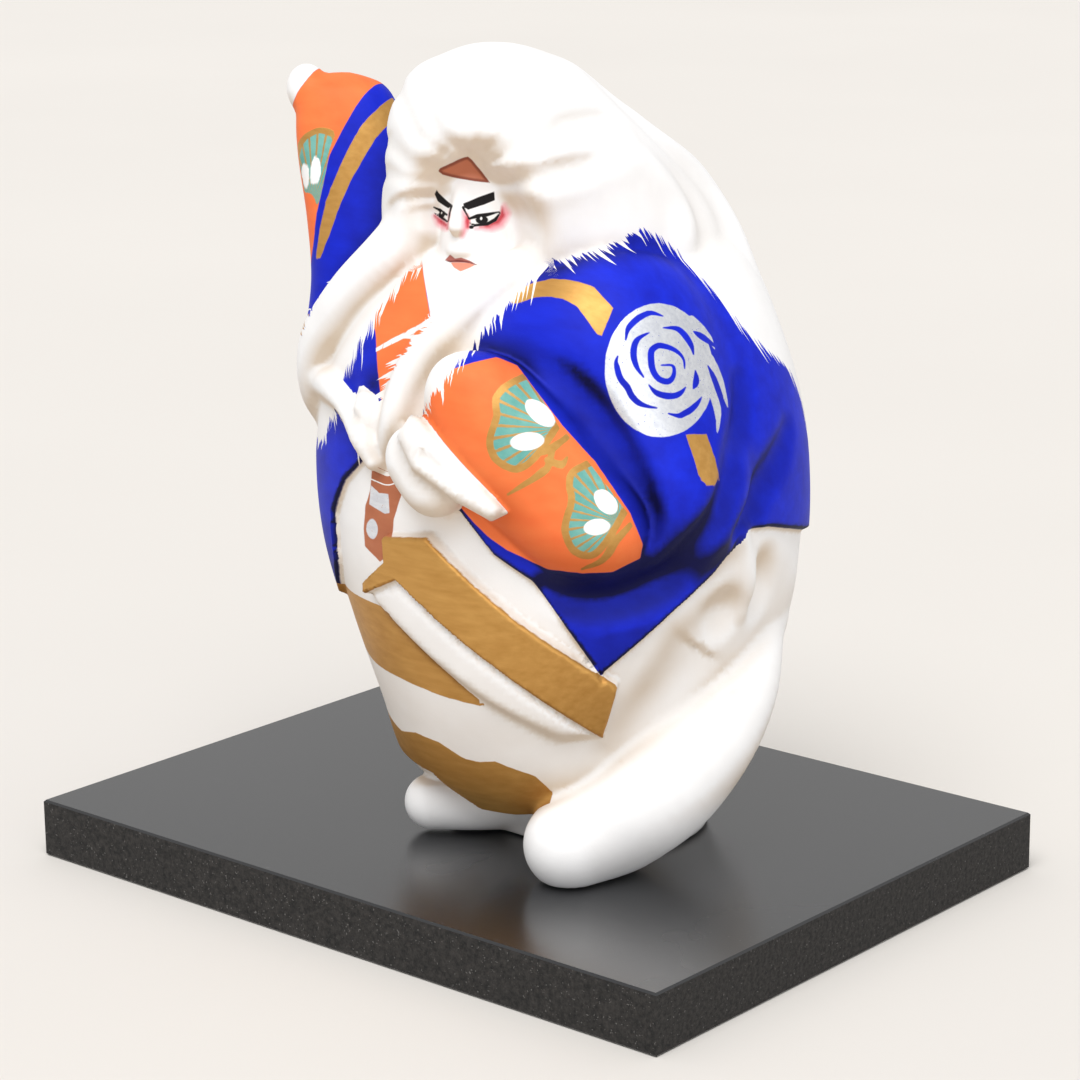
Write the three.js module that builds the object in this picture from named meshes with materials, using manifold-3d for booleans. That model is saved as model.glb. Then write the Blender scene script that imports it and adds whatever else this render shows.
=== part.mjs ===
import * as THREE from 'three';
import { mergeVertices } from 'three/addons/utils/BufferGeometryUtils.js';
import Module from 'manifold-3d';

// Driving sizes in millimetres. Z is up, the figure looks toward -Y, its own left is +X.
const plinthLength = 200;
const plinthDepth = 150;
const plinthThickness = 15;
const plinthEdgeBevel = 0.5;
const figureHeight = 193;
const seatGap = 0.3;

// How finely the figure is faceted: cell size in shares of its height, and triangles kept
const cellSize = 1.1;
const figureTriangles = 9200;

// Everything on the figure is written in shares, hundredths of its height, measured from
// the middle of its seat, so the pose and the carving keep their proportions at any height.
const share = figureHeight / 100;

// Colours and surface of the bare pieces
const clayWhite = { color: 0xefece6, roughness: 0.72, metalness: 0 };
const boardBlack = { color: 0x17181a, roughness: 0.5, metalness: 0 };

// The turn of the sleeves round the upright axis, in degrees
const sleeveTurn = 40.75;

// Middle of the robe from left to right, and the radius the hems are laid out on
const robeAxis = 5;
const robeRadius = 28;

// Robe and trousers, one row per height: height, middle x, middle y, half width, half depth
const robeRows = [
  [0, 7.5, 0.8, 16.5, 15.5],
  [5, 7.3, 0.4, 18.3, 18],
  [10, 7.1, 0, 21.3, 21.6],
  [18, 7, 0, 23.4, 24.2],
  [28, 6.4, 0.3, 27.2, 26.4],
  [38, 5.5, 0.5, 30, 27.7],
  [48, 5, 0.6, 30.4, 28],
  [56, 4.8, 0.8, 29.2, 27.2],
  [63, 4.4, 1, 27.2, 25.6],
  [70, 4, 1.2, 24.2, 23.2],
  [76, 4, 1.5, 19, 19.5],
  [81, 4, 1.8, 12, 14],
];
const robeTop = 80;

// Long mane over head and back, rows as for the robe
const maneRows = [
  [36, 5, 9.6, 19.6, 20.6],
  [48, 5, 9, 21, 21.8],
  [60, 4.6, 6.5, 22.2, 22.4],
  [68, 4.3, 3.2, 21.4, 21.6],
  [74, 4.4, 0.6, 20.1, 20],
  [80, 5.2, -2, 18.2, 18.2],
  [86, 5.3, -4.2, 16.5, 16],
  [91, 5.1, -6.4, 13.9, 13.2],
  [95, 4.6, -8.2, 10.4, 9.4],
  [97.8, 3.8, -9.4, 6.8, 5.6],
  [99.2, 3.8, -9.8, 3, 2.4],
];
const maneTop = 98.9;
const maneFoot = 38;

// Raised sleeve on the doll's right, rows in the frame turned by sleeveTurn
const raisedSleeveRows = [
  [56, -19.2, 9, 10.4, 7.6],
  [60, -19, 10, 9.9, 7.5],
  [68, -18.9, 11.5, 8.9, 7],
  [76, -19.7, 12.5, 8.5, 6.4],
  [84, -21.4, 13.6, 7.8, 5.6],
  [89, -22.6, 14.4, 6.7, 4.9],
  [92.5, -23.2, 14.8, 5.2, 3.8],
  [94.6, -23.5, 15, 2.6, 2],
];
const raisedSleeveTop = 94.2;
const raisedSleeveFoot = 58;

const degree = Math.PI / 180;

// Hems as angle round the robe (0 in front, + to the doll's left) and height
const coatHem = [
  [-180, 34], [-120, 33], [-60, 30], [-42, 31], [-35, 36], [-32, 43], [-25, 47.7], [-13, 52.5],
  [0, 56], [9, 55], [16, 47.3], [25, 42.3], [34, 39.5], [40, 35.2], [50, 27.5], [67, 35.2],
  [76, 38.9], [84, 43.8], [95, 43], [115, 40], [150, 36], [180, 34],
];
const legHem = [[-40, 11], [-8, 10.2], [8, 5.8], [24, 6.2], [38, 7.4]];
const sashOutline = laidRound([
  [-7, 42.5], [7, 43.6], [31, 34.3], [54, 26.2], [51, 19.1],
  [25, 28.2], [-3, 37.4], [-17, 34.1], [-16, 35.9], [-7, 39.3],
]);
const foldOutline = laidRound([
  [-16, 35], [-3, 37.4], [25, 28.2], [51, 19.1], [40, 18.6], [21, 22.9], [3, 27.9], [-14, 33],
]);

// How far cloth stands proud of the robe
const coatThickness = 0.9;
const sashThickness = 1.7;
const foldThickness = 1.2;
const legHemDepth = 1;
const sideHemDepth = 3.4;
const hemSoftness = 1.7;
const pleatDepth = 0.45;
const pleatCount = 11;

// Head: place and turn of the face, and the parting point of the hair above it
const faceMiddle = [5.1, -11.9, 80.4];
const faceTurn = [6, -6, -4.7];
const partingPoint = [6.3, -20.3, 88];

// Furrows running back from the parting: direction in degrees, depth, width, start, end
const hairFurrows = [
  [150, 0.4, 10, 2, 12],
  [124, 0.35, 8, 6, 14],
  [76, 0.2, 10, 8, 15],
  [50, 0.3, 9, 9, 17],
  [31, 0.55, 7, 4, 19],
  [10, 0.55, 7, 4, 17],
  [172, 0.35, 9, 2, 11],
];
const backLockDepth = 0.5;
const backLockPitch = 11;

// Rounded strands, limbs and folds: points x, y, z and a radius
const temple = [[-6.4, -12.8, 84, 3.2], [-4.4, -15, 79, 3.6], [-2.6, -16, 74.2, 3.3]];
const shoulderHair = [[13.5, -12.1, 76.5, 2], [17.1, -5.1, 77, 2.6], [19.5, 1.5, 76, 1.6]];
const rightStrand = [
  [-1.6, -17.6, 79, 3.6], [-5.4, -19, 74.3, 3.8], [-11.6, -18.6, 68.5, 4.1],
  [-17.4, -17.5, 62.2, 4], [-19.6, -16.6, 56, 3.2], [-20.8, -15, 50.9, 1.2],
];
const leftStrand = [
  [13.6, -15.8, 75, 2.6], [11.8, -18.4, 73.5, 3], [9.7, -20.6, 71.2, 3.3], [7.6, -22.7, 67.7, 3.2],
  [5.5, -24, 64.6, 3], [3.6, -25.2, 60.9, 2.8], [2.2, -26.6, 56, 2.2], [0.1, -26.4, 51.4, 1],
];
const collarKnot = [
  [-16.6, -18.6, 57.6, 2.4], [-11.6, -22.8, 58, 1.9], [-7.6, -25.2, 57.4, 1.6],
  [-4.8, -26.5, 56, 1.6], [-2.4, -27.5, 54, 1.7], [-0.8, -27.4, 51.4, 1.3],
];
const sleeveCrease = [
  [20.5, -24, 66.5, 1], [24.3, -22.5, 64.2, 2], [27.7, -21.1, 60.4, 2.4], [30.8, -20, 55.8, 2.5],
  [33.1, -19.2, 51, 2.5], [33.9, -18.4, 46.6, 2.2], [33.6, -18.6, 42.6, 1.2],
];
const sleeveFoot = [
  [33.8, 0.8, 61.3, 0.8], [35.4, -1.5, 57, 1.2], [38, -5.8, 53.9, 1.6], [38.9, -7.8, 50.6, 1.8],
  [38.8, -10, 46.6, 2], [36.9, -12.5, 42.9, 2], [33.5, -14.1, 39, 2], [30.1, -18.4, 37, 1.8],
  [26.1, -22, 36.9, 1.5], [23.3, -24.2, 38.3, 1],
];
const backCrease = [
  [35.3, 8.6, 53.9, 1], [36.6, 5.6, 51.5, 1.8], [37.4, 1, 48.6, 2], [37.9, -1.5, 46, 2], [38.1, -4, 44.2, 1.5],
];
const sideValley = [
  [28.4, -16, 16, 2.2], [31.4, -13, 20.6, 3.2], [34.6, -10, 25.6, 4.2],
  [36.6, -8.4, 29.6, 4.4], [36.4, -6.2, 32, 2.6],
];
const sideFold = [
  [35.6, -2.8, 43.5, 0.8], [34.9, -1.3, 39.5, 1.3], [34.6, -0.4, 36, 1.3], [34.2, -0.6, 32.8, 0.9],
];
const leftLeg = [
  [21.4, -17.2, 4.8, 5.3], [26.4, -10.2, 9.3, 7.2], [29.5, -3.6, 15, 6.9],
  [30.9, 2.8, 21.2, 5.4], [29, 10.5, 28.1, 3.2],
];
const leftLegGroove = [[34.6, -1.9, 22.4, 0.3], [34.4, -8.6, 19.4, 1.2], [32.6, -14.1, 16.2, 0.3]];
const leftToe = [[21.5, -18.4, 4.4, 4.1], [22.8, -11, 4.6, 4.5]];
const rightFoot = [[-4, -14.8, 3.7, 3.6], [0.2, -11.4, 4.2, 4.2], [5.6, -6, 4.4, 4.4]];

// Hollows pressed into the side of the trousers: middle and radii
const sideHollows = [
  [[36, -3.9, 33.5], [2.6, 2, 2.2]],
  [[36.6, 2.9, 35.2], [2.8, 2.4, 4]],
];

// Flat sheet turned as the sleeves are and tipped back: its tip in degrees, then across and up
const sheetTip = 14.87;
const heldOutline = [
  [-13.6, 49.6], [-12.3, 48.9], [-2.55, 37.9], [-4.5, 37], [-8.6, 39.3], [-13.5, 43], [-15.3, 47],
];
const heldNearness = 46.2;
const heldSlope = 0.16;
const heldHalf = 2.6;
const kerchiefOutline = [[-20.15, 53.5], [-17.6, 51.4], [-17.5, 48.4], [-19.6, 48.6], [-21, 50.6]];
const kerchiefNearness = 32.2;
const kerchiefHalf = 2;
const slabRounding = 1.6;

function clamp(value, low, high) {
  return Math.min(Math.max(value, low), high);
}

// An outline given as angle and height, laid flat
function laidRound(outline) {
  return outline.map(([angle, z]) => [angle * degree * robeRadius, z]);
}

// Union of two distances, rounded where they come within k of each other
function joined(a, b, k) {
  const h = Math.max(k - Math.abs(a - b), 0) / k;
  return Math.min(a, b) - h * h * k * 0.25;
}

// Intersection of two distances, rounded in the same way
function common(a, b, k) {
  return -joined(-a, -b, k);
}

// 1 where d is well below 0, 0 where it is well above, eased over a width of soft
function eased(d, soft) {
  const t = clamp(0.5 - d / soft, 0, 1);
  return t * t * (3 - 2 * t);
}

// A point seen from a frame turned about z, then x, then y
function turned(p, aboutZ, aboutX = 0, aboutY = 0) {
  const cz = Math.cos(aboutZ * degree);
  const sz = Math.sin(aboutZ * degree);
  const cx = Math.cos(aboutX * degree);
  const sx = Math.sin(aboutX * degree);
  const cy = Math.cos(aboutY * degree);
  const sy = Math.sin(aboutY * degree);
  const x = cz * p[0] + sz * p[1];
  const y = -sz * p[0] + cz * p[1];
  const y2 = cx * y + sx * p[2];
  const z2 = -sx * y + cx * p[2];
  return [cy * x - sy * z2, y2, cy * z2 + sy * x];
}

// Distance to an egg with the given radii, standing in a turned frame
function egg(p, middle, radii, aboutZ = 0, aboutX = 0, aboutY = 0) {
  const q = turned([p[0] - middle[0], p[1] - middle[1], p[2] - middle[2]], aboutZ, aboutX, aboutY);
  const [a, b, c] = radii;
  const near = Math.hypot(q[0] / a, q[1] / b, q[2] / c) + 1e-9;
  const slope = Math.hypot(q[0] / (a * a), q[1] / (b * b), q[2] / (c * c)) + 1e-9;
  return near * (near - 1) / slope;
}

// Distance to an egg with fuller shoulders
function pillow(p, middle, radii, fullness) {
  const q = p.map((value, n) => Math.abs(value - middle[n]) + 1e-6);
  const fill = q.reduce((total, value, n) => total + (value / radii[n]) ** fullness, 0);
  return Math.hypot(...q) * (1 - 1 / fill ** (1 / fullness));
}

// Distance to a straight taper between two points
function taper(p, from, to, fromRadius, toRadius) {
  const run = [to[0] - from[0], to[1] - from[1], to[2] - from[2]];
  const rel = [p[0] - from[0], p[1] - from[1], p[2] - from[2]];
  const length = run[0] ** 2 + run[1] ** 2 + run[2] ** 2;
  const t = clamp((rel[0] * run[0] + rel[1] * run[1] + rel[2] * run[2]) / length, 0, 1);
  const gap = Math.hypot(rel[0] - t * run[0], rel[1] - t * run[1], rel[2] - t * run[2]);
  return gap - (fromRadius + (toRadius - fromRadius) * t);
}

// A rounded limb along a smooth curve through rows of x, y, z and radius
class Limb {
  constructor(rows, steps = 6) {
    const mirror = (a, b) => a.map((value, i) => 2 * value - b[i]);
    const ends = [mirror(rows[0], rows[1]), ...rows, mirror(rows.at(-1), rows.at(-2))];
    this.points = [];
    for (let i = 1; i < ends.length - 2; i++) {
      for (let j = 0; j < steps; j++) {
        const t = j / steps;
        this.points.push(ends[i].map((b, n) => {
          const a = ends[i - 1][n];
          const c = ends[i + 1][n];
          const d = ends[i + 2][n];
          const square = (2 * a - 5 * b + 4 * c - d) * t * t;
          const cube = (3 * b - a - 3 * c + d) * t * t * t;
          return 0.5 * (2 * b + (c - a) * t + square + cube);
        }));
      }
    }
    this.points.push([...rows.at(-1)]);
    const reach = Math.max(...this.points.map((row) => row[3])) + this.margin;
    this.low = [0, 1, 2].map((n) => Math.min(...this.points.map((row) => row[n])) - reach);
    this.high = [0, 1, 2].map((n) => Math.max(...this.points.map((row) => row[n])) + reach);
  }

  // How far outside its box a limb is still measured exactly
  get margin() {
    return 8;
  }

  distance(p) {
    let away = 0;
    for (let n = 0; n < 3; n++) {
      away += Math.max(this.low[n] - p[n], p[n] - this.high[n], 0) ** 2;
    }
    if (away > 0) {
      return Math.sqrt(away) + this.margin;
    }
    let nearest = Infinity;
    let radius = 0;
    for (let i = 0; i < this.points.length - 1; i++) {
      const a = this.points[i];
      const b = this.points[i + 1];
      const ex = b[0] - a[0];
      const ey = b[1] - a[1];
      const ez = b[2] - a[2];
      const x = p[0] - a[0];
      const y = p[1] - a[1];
      const z = p[2] - a[2];
      const t = clamp((x * ex + y * ey + z * ez) / (ex * ex + ey * ey + ez * ez), 0, 1);
      const gap = (x - t * ex) ** 2 + (y - t * ey) ** 2 + (z - t * ez) ** 2;
      if (gap < nearest) {
        nearest = gap;
        radius = a[3] + (b[3] - a[3]) * t;
      }
    }
    return Math.sqrt(nearest) - radius;
  }
}

const limbs = {
  temple: new Limb(temple),
  shoulderHair: new Limb(shoulderHair),
  rightStrand: new Limb(rightStrand),
  leftStrand: new Limb(leftStrand),
  collarKnot: new Limb(collarKnot),
  sleeveCrease: new Limb(sleeveCrease),
  sleeveFoot: new Limb(sleeveFoot),
  backCrease: new Limb(backCrease),
  sideValley: new Limb(sideValley),
  sideFold: new Limb(sideFold),
  leftLeg: new Limb(leftLeg),
  leftLegGroove: new Limb(leftLegGroove),
  leftToe: new Limb(leftToe),
  rightFoot: new Limb(rightFoot),
};

// One column of a table of rows, read at any height along a smooth curve
function readRow(rows, column, z) {
  const last = rows.length - 1;
  const height = clamp(z, rows[0][0], rows[last][0]);
  let i = 0;
  while (i < last - 1 && rows[i + 1][0] <= height) {
    i += 1;
  }
  const slope = (n) => {
    if (n === 0 || n === last) {
      return 0;
    }
    return (rows[n + 1][column] - rows[n - 1][column]) / (rows[n + 1][0] - rows[n - 1][0]);
  };
  const width = rows[i + 1][0] - rows[i][0];
  const t = (height - rows[i][0]) / width;
  const start = (2 * t ** 3 - 3 * t ** 2 + 1) * rows[i][column];
  const end = (3 * t ** 2 - 2 * t ** 3) * rows[i + 1][column];
  const rise = (t ** 3 - 2 * t ** 2 + t) * width * slope(i);
  const fall = (t ** 3 - t ** 2) * width * slope(i + 1);
  return start + rise + end + fall;
}

// A row never closes to less than this
const smallestRadius = 0.5;

// Distance to an upright form whose rounded oval sections are given by rows
function rowForm(p, rows, squareness) {
  const x = p[0] - readRow(rows, 1, p[2]);
  const y = p[1] - readRow(rows, 2, p[2]);
  const across = Math.abs(x) / Math.max(readRow(rows, 3, p[2]), smallestRadius);
  const along = Math.abs(y) / Math.max(readRow(rows, 4, p[2]), smallestRadius);
  const ratio = (across ** squareness + along ** squareness) ** (1 / squareness) + 1e-6;
  return (Math.hypot(x, y) + 1e-6) * (1 - 1 / ratio);
}

// Height of a hem at an angle round the robe
function hemHeight(hem, angle) {
  if (angle <= hem[0][0]) {
    return hem[0][1];
  }
  for (let i = 1; i < hem.length; i++) {
    if (angle <= hem[i][0]) {
      const t = (angle - hem[i - 1][0]) / (hem[i][0] - hem[i - 1][0]);
      return hem[i - 1][1] + (hem[i][1] - hem[i - 1][1]) * t;
    }
  }
  return hem.at(-1)[1];
}

// Distance to a closed flat outline, below 0 inside it
function outlineDistance(s, z, outline) {
  let nearest = Infinity;
  let sign = 1;
  for (let i = 0; i < outline.length; i++) {
    const from = outline[i];
    const to = outline[(i + 1) % outline.length];
    const ex = to[0] - from[0];
    const ez = to[1] - from[1];
    const wx = s - from[0];
    const wz = z - from[1];
    const t = clamp((wx * ex + wz * ez) / (ex * ex + ez * ez), 0, 1);
    nearest = Math.min(nearest, Math.hypot(wx - t * ex, wz - t * ez));
    const side = ex * wz - wx * ez;
    const passesUp = from[1] <= z && to[1] > z && side < 0;
    const passesDown = to[1] <= z && from[1] > z && side > 0;
    if (passesUp || passesDown) {
      sign = -sign;
    }
  }
  return nearest * sign;
}

// Distance to a slab cut to an outline on the tipped sheet, at a nearness that slopes across it
function slab(p, outline, nearness, slope, half) {
  const [across, back, z] = turned(p, sleeveTurn);
  const up = back * Math.sin(sheetTip * degree) + z * Math.cos(sheetTip * degree);
  const near = z * Math.sin(sheetTip * degree) - back * Math.cos(sheetTip * degree);
  const depth = Math.abs(near - nearness - slope * across) - half;
  return common(outlineDistance(across, up, outline), depth, slabRounding);
}

function robeAngle(p) {
  return Math.atan2(p[0] - robeAxis, -p[1]) / degree;
}

function robe(p) {
  return common(rowForm(p, robeRows, 2.15) * 0.93, p[2] - robeTop, 8);
}

// Coat: robe with the coat's hem, the wide left sleeve, its crease and the lining below it
function coat(p) {
  let d = robe(p) - coatThickness * eased(hemHeight(coatHem, robeAngle(p)) - p[2], hemSoftness);
  const upper = egg(p, [18.7, -7.7, 61.2], [15, 15, 16.5], sleeveTurn);
  const lower = egg(p, [25.3, -7.4, 49.1], [12.8, 13.8, 13.8], sleeveTurn, 0, -12);
  d = joined(d, joined(upper, lower, 5), 1.2);
  d = common(d, -limbs.sleeveCrease.distance(p), 1.4);
  d = common(d, -limbs.sleeveFoot.distance(p), 2.2);
  d = common(d, -limbs.backCrease.distance(p), 2);
  const lining = egg(p, [19.7, -21.3, 52.6], [8.8, 7.4, 17], sleeveTurn, 0, -42);
  const liningEnd = egg(p, [26.6, -18.6, 46], [5.8, 4.8, 4.6], sleeveTurn);
  return joined(d, joined(lining, liningEnd, 7), 0.4);
}

// Trousers below the coat: sash end, fold beside it, leg hems and soft pleats round the back
function trousers(p, d) {
  const angle = robeAngle(p);
  const z = p[2];
  const hem = hemHeight(coatHem, angle);
  const below = eased(z - hem + 0.5, 1);
  const s = angle * degree * robeRadius;
  const sash = outlineDistance(s, z, sashOutline);
  const fold = outlineDistance(s, z, foldOutline);
  let out = d - sashThickness * eased(sash - 0.1, hemSoftness) * below;
  out -= foldThickness * eased(fold + 0.4, 1.8) * below * eased(-sash - 0.2, 0.5);
  const step = legHemDepth + sideHemDepth * eased(Math.abs(angle - 4) - 27, 14);
  out += step * eased(z - hemHeight(legHem, angle), hemSoftness) * eased(Math.abs(angle) - 40, 8);
  const wave = Math.sin(angle * degree * pleatCount + 0.05 * z);
  const place = eased(95 - Math.abs(angle), 40) * eased(z - hem + 4, 8) * eased(8 - z, 8);
  return out + pleatDepth * wave * place;
}

// Face: long oval with a small jaw, eye hollows, a straight nose and the mouth
function face(p) {
  const rel = [p[0] - faceMiddle[0], p[1] - faceMiddle[1], p[2] - faceMiddle[2]];
  const q = turned(rel, ...faceTurn);
  let d = egg(q, [0, 0, 0.5], [5.9, 7.2, 11]);
  d = joined(d, egg(q, [0, -2.6, -5.2], [4.8, 4.6, 4.6]), 2.5);
  for (const side of [-1, 1]) {
    d = common(d, -egg(q, [2.5 * side, -8.4, 2], [2, 1.6, 1]), 1.2);
  }
  d = joined(d, taper(q, [0, -6.3, 2.8], [0, -7.7, -1.6], 0.6, 0.95), 1);
  return joined(d, egg(q, [0, -7, -4.4], [1.6, 0.8, 0.8]), 0.8);
}

// Furrows in front, long wavy locks behind
function hairRelief(p) {
  const x = p[0] - partingPoint[0];
  const z = p[2] - partingPoint[2];
  const direction = Math.atan2(z, x) / degree;
  const reach = Math.hypot(x, p[1] - partingPoint[1], z);
  let furrows = 0;
  for (const [heading, depth, width, start, end] of hairFurrows) {
    const turn = ((direction - heading + 540) % 360) - 180;
    const spread = width * (0.55 + 6 / (reach + 4));
    furrows += depth * Math.exp(-((turn / spread) ** 2)) * eased(start - reach, 6) * eased(reach - end, 8);
  }
  const front = eased(p[1] + 2, 14);
  const angle = Math.atan2(p[0] - robeAxis, p[1] + 14);
  const wave = 0.1 * Math.sin(p[2] * 0.16 + 1) + 0.05 * Math.sin(p[2] * 0.33);
  const u = (angle + wave) * backLockPitch;
  const locks = Math.sin(u) + 0.5 * Math.sin(2.1 * u + 0.7);
  const place = eased(angle - 0.95, 0.9) * eased(-angle - 0.95, 0.9);
  return furrows * front + (1 - front) * backLockDepth * locks * place;
}

// Mane: shell over head and back, rolled crown, the bay left for the face, side hair
function mane(p) {
  let shell = common(rowForm(p, maneRows, 2) * 0.85, p[2] - maneTop, 3);
  shell = common(shell, maneFoot - p[2], 6);
  const crown = pillow(p, [5, -11, 85.1], [12.7, 11, 14.6], 2.9);
  let d = joined(shell, crown, 4);
  d = common(d, -egg(p, [9.8, -23, 75], [10.8, 8.8, 14], -4, 0, 8), 3);
  d = joined(d, limbs.temple.distance(p), 3);
  d = joined(d, egg(p, [5, 9.5, 46], [20.6, 21.5, 42], 0, -2), 8);
  d = joined(d, limbs.shoulderHair.distance(p), 5);
  return d + hairRelief(p) * eased(Math.abs(d) - 3, 2);
}

// Raised right arm: flat sleeve with the fist at its top corner
function raisedArm(p) {
  let cloth = rowForm(turned(p, sleeveTurn), raisedSleeveRows, 2.4) * 0.9;
  cloth = common(cloth, p[2] - raisedSleeveTop, 3);
  cloth = common(cloth, raisedSleeveFoot - p[2], 4);
  return joined(cloth, egg(p, [-31, -6.4, 91.7], [2.8, 3, 3.5], 40, 0, -15), 0.8);
}

// Left hand in two rounded masses, with the flat end of what it holds
function leftHand(p) {
  const palm = egg(p, [7.7, -29, 52.9], [3.7, 3.8, 4.4], sleeveTurn, 0, -20);
  const fingers = egg(p, [10.5, -28.9, 50.1], [3.8, 3.7, 3.6]);
  const held = slab(p, heldOutline, heldNearness, heldSlope, heldHalf);
  return joined(joined(palm, fingers, 2), held, 0.8);
}

// The whole figure, open below so that the seat can be cut flat afterwards
function figureDistance(p) {
  let d = common(trousers(p, coat(p)), -limbs.sideValley.distance(p), 3);
  for (const [middle, radii] of sideHollows) {
    d = common(d, -egg(p, middle, radii), 1.6);
  }
  d = joined(d, limbs.sideFold.distance(p), 1.4);
  d = joined(d, mane(p), 0.5);
  d = joined(d, face(p), 1);
  d = joined(d, raisedArm(p), 2);
  d = joined(d, leftHand(p), 0.8);
  d = joined(d, limbs.rightStrand.distance(p), 0.8);
  d = joined(d, limbs.leftStrand.distance(p), 0.8);
  const kerchief = slab(p, kerchiefOutline, kerchiefNearness, 0, kerchiefHalf);
  d = joined(d, joined(limbs.collarKnot.distance(p), kerchief, 0.6), 1);
  const leg = joined(limbs.leftToe.distance(p), limbs.leftLeg.distance(p), 4);
  d = joined(d, common(leg, -limbs.leftLegGroove.distance(p), 1.5), 1);
  d = joined(d, limbs.rightFoot.distance(p), 1);
  return d;
}

// Bounds of the field in shares; the figure runs a little below its seat
const fieldLow = [-38, -37, -2.6];
const fieldHigh = [44, 36, 102];
const fieldFoot = -1.8;

// The seven edges that leave a corner of a cell cut into six tetrahedra, and those six
const edgeSteps = [[1, 0, 0], [0, 1, 0], [0, 0, 1], [1, 1, 0], [1, 0, 1], [0, 1, 1], [1, 1, 1]];
const axisOrders = [[0, 1, 2], [0, 2, 1], [1, 0, 2], [1, 2, 0], [2, 0, 1], [2, 1, 0]];

// Closed surface where the field is 0, found tetrahedron by tetrahedron
function surfaceOf(field) {
  const count = fieldLow.map((low, n) => Math.ceil((fieldHigh[n] - low) / cellSize) + 1);
  const index = (i, j, k) => (i * count[1] + j) * count[2] + k;
  const place = (i, j, k) => [i, j, k].map((step, n) => fieldLow[n] + step * cellSize);
  const values = new Float64Array(count[0] * count[1] * count[2]);
  for (let i = 0; i < count[0]; i++) {
    for (let j = 0; j < count[1]; j++) {
      for (let k = 0; k < count[2]; k++) {
        const value = field(place(i, j, k));
        values[index(i, j, k)] = Math.abs(value) < 1e-4 ? 1e-4 : value;
      }
    }
  }
  const points = [];
  const triangles = [];
  const seen = new Map();
  const crossing = (a, b) => {
    const [low, high] = index(...a) < index(...b) ? [a, b] : [b, a];
    const step = edgeSteps.findIndex((e) => e.every((value, n) => value === high[n] - low[n]));
    const key = index(...low) * edgeSteps.length + step;
    if (!seen.has(key)) {
      const from = values[index(...low)];
      const t = clamp(from / (from - values[index(...high)]), 0.25, 0.75);
      const start = place(...low);
      seen.set(key, points.length / 3);
      points.push(...start.map((value, n) => value + (high[n] - low[n]) * cellSize * t));
    }
    return seen.get(key);
  };
  const addFacing = (a, b, c, outward) => {
    const at = (v) => new THREE.Vector3(points[3 * v], points[3 * v + 1], points[3 * v + 2]);
    const normal = at(b).sub(at(a)).cross(at(c).sub(at(a)));
    triangles.push(...(normal.dot(outward) > 0 ? [a, b, c] : [a, c, b]));
  };
  const addTetrahedron = (corners) => {
    const inside = corners.filter((c) => values[index(...c)] < 0);
    const outside = corners.filter((c) => values[index(...c)] >= 0);
    if (inside.length === 0 || outside.length === 0) {
      return;
    }
    const outward = new THREE.Vector3();
    for (const a of inside) {
      for (const b of outside) {
        outward.add(new THREE.Vector3(b[0] - a[0], b[1] - a[1], b[2] - a[2]));
      }
    }
    if (inside.length === 2) {
      const [a, b] = inside;
      const [c, d] = outside;
      const ring = [crossing(a, c), crossing(a, d), crossing(b, d), crossing(b, c)];
      addFacing(ring[0], ring[1], ring[2], outward);
      addFacing(ring[0], ring[2], ring[3], outward);
      return;
    }
    const [single, others] = inside.length === 1 ? [inside[0], outside] : [outside[0], inside];
    addFacing(...others.map((other) => crossing(single, other)), outward);
  };
  for (let i = 0; i < count[0] - 1; i++) {
    for (let j = 0; j < count[1] - 1; j++) {
      for (let k = 0; k < count[2] - 1; k++) {
        const signs = [[0, 0, 0], ...edgeSteps].map((e) => values[index(i + e[0], j + e[1], k + e[2])] < 0);
        if (signs.every((sign) => sign === signs[0])) {
          continue;
        }
        for (const order of axisOrders) {
          const corner = [i, j, k];
          const corners = [[...corner]];
          for (const axis of order) {
            corner[axis] += 1;
            corners.push([...corner]);
          }
          addTetrahedron(corners);
        }
      }
    }
  }
  return { points, triangles };
}

// Moves the points of a surface onto the place where the field is 0
function settled(surface, field) {
  const { points, triangles } = surface;
  const probe = 0.05;
  const longestMove = 0.3 * cellSize;
  const rounds = 3;
  for (let round = 0; round < rounds; round++) {
    for (let v = 0; v < points.length; v += 3) {
      const p = points.slice(v, v + 3);
      const value = field(p);
      const slope = [0, 1, 2].map((n) => {
        const q = [...p];
        q[n] += probe;
        return (field(q) - value) / probe;
      });
      const steepness = Math.max(Math.hypot(...slope), 0.3);
      const move = clamp(value / steepness, -longestMove, longestMove) / steepness;
      slope.forEach((part, n) => {
        points[v + n] -= move * part;
      });
    }
  }
  return { points, triangles };
}

// Evens the surface: each point moves halfway to the middle of the points joined to it
function evened(surface, rounds) {
  const { points, triangles } = surface;
  for (let round = 0; round < rounds; round++) {
    const sums = new Float64Array(points.length);
    const counts = new Float64Array(points.length / 3);
    for (let t = 0; t < triangles.length; t += 3) {
      for (let side = 0; side < 3; side++) {
        const from = triangles[t + side];
        const to = triangles[t + ((side + 1) % 3)];
        counts[from] += 1;
        for (let n = 0; n < 3; n++) {
          sums[3 * from + n] += points[3 * to + n];
        }
      }
    }
    for (let v = 0; v < points.length; v++) {
      points[v] = (points[v] + sums[v] / counts[Math.floor(v / 3)]) / 2;
    }
  }
  return { points, triangles };
}

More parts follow.
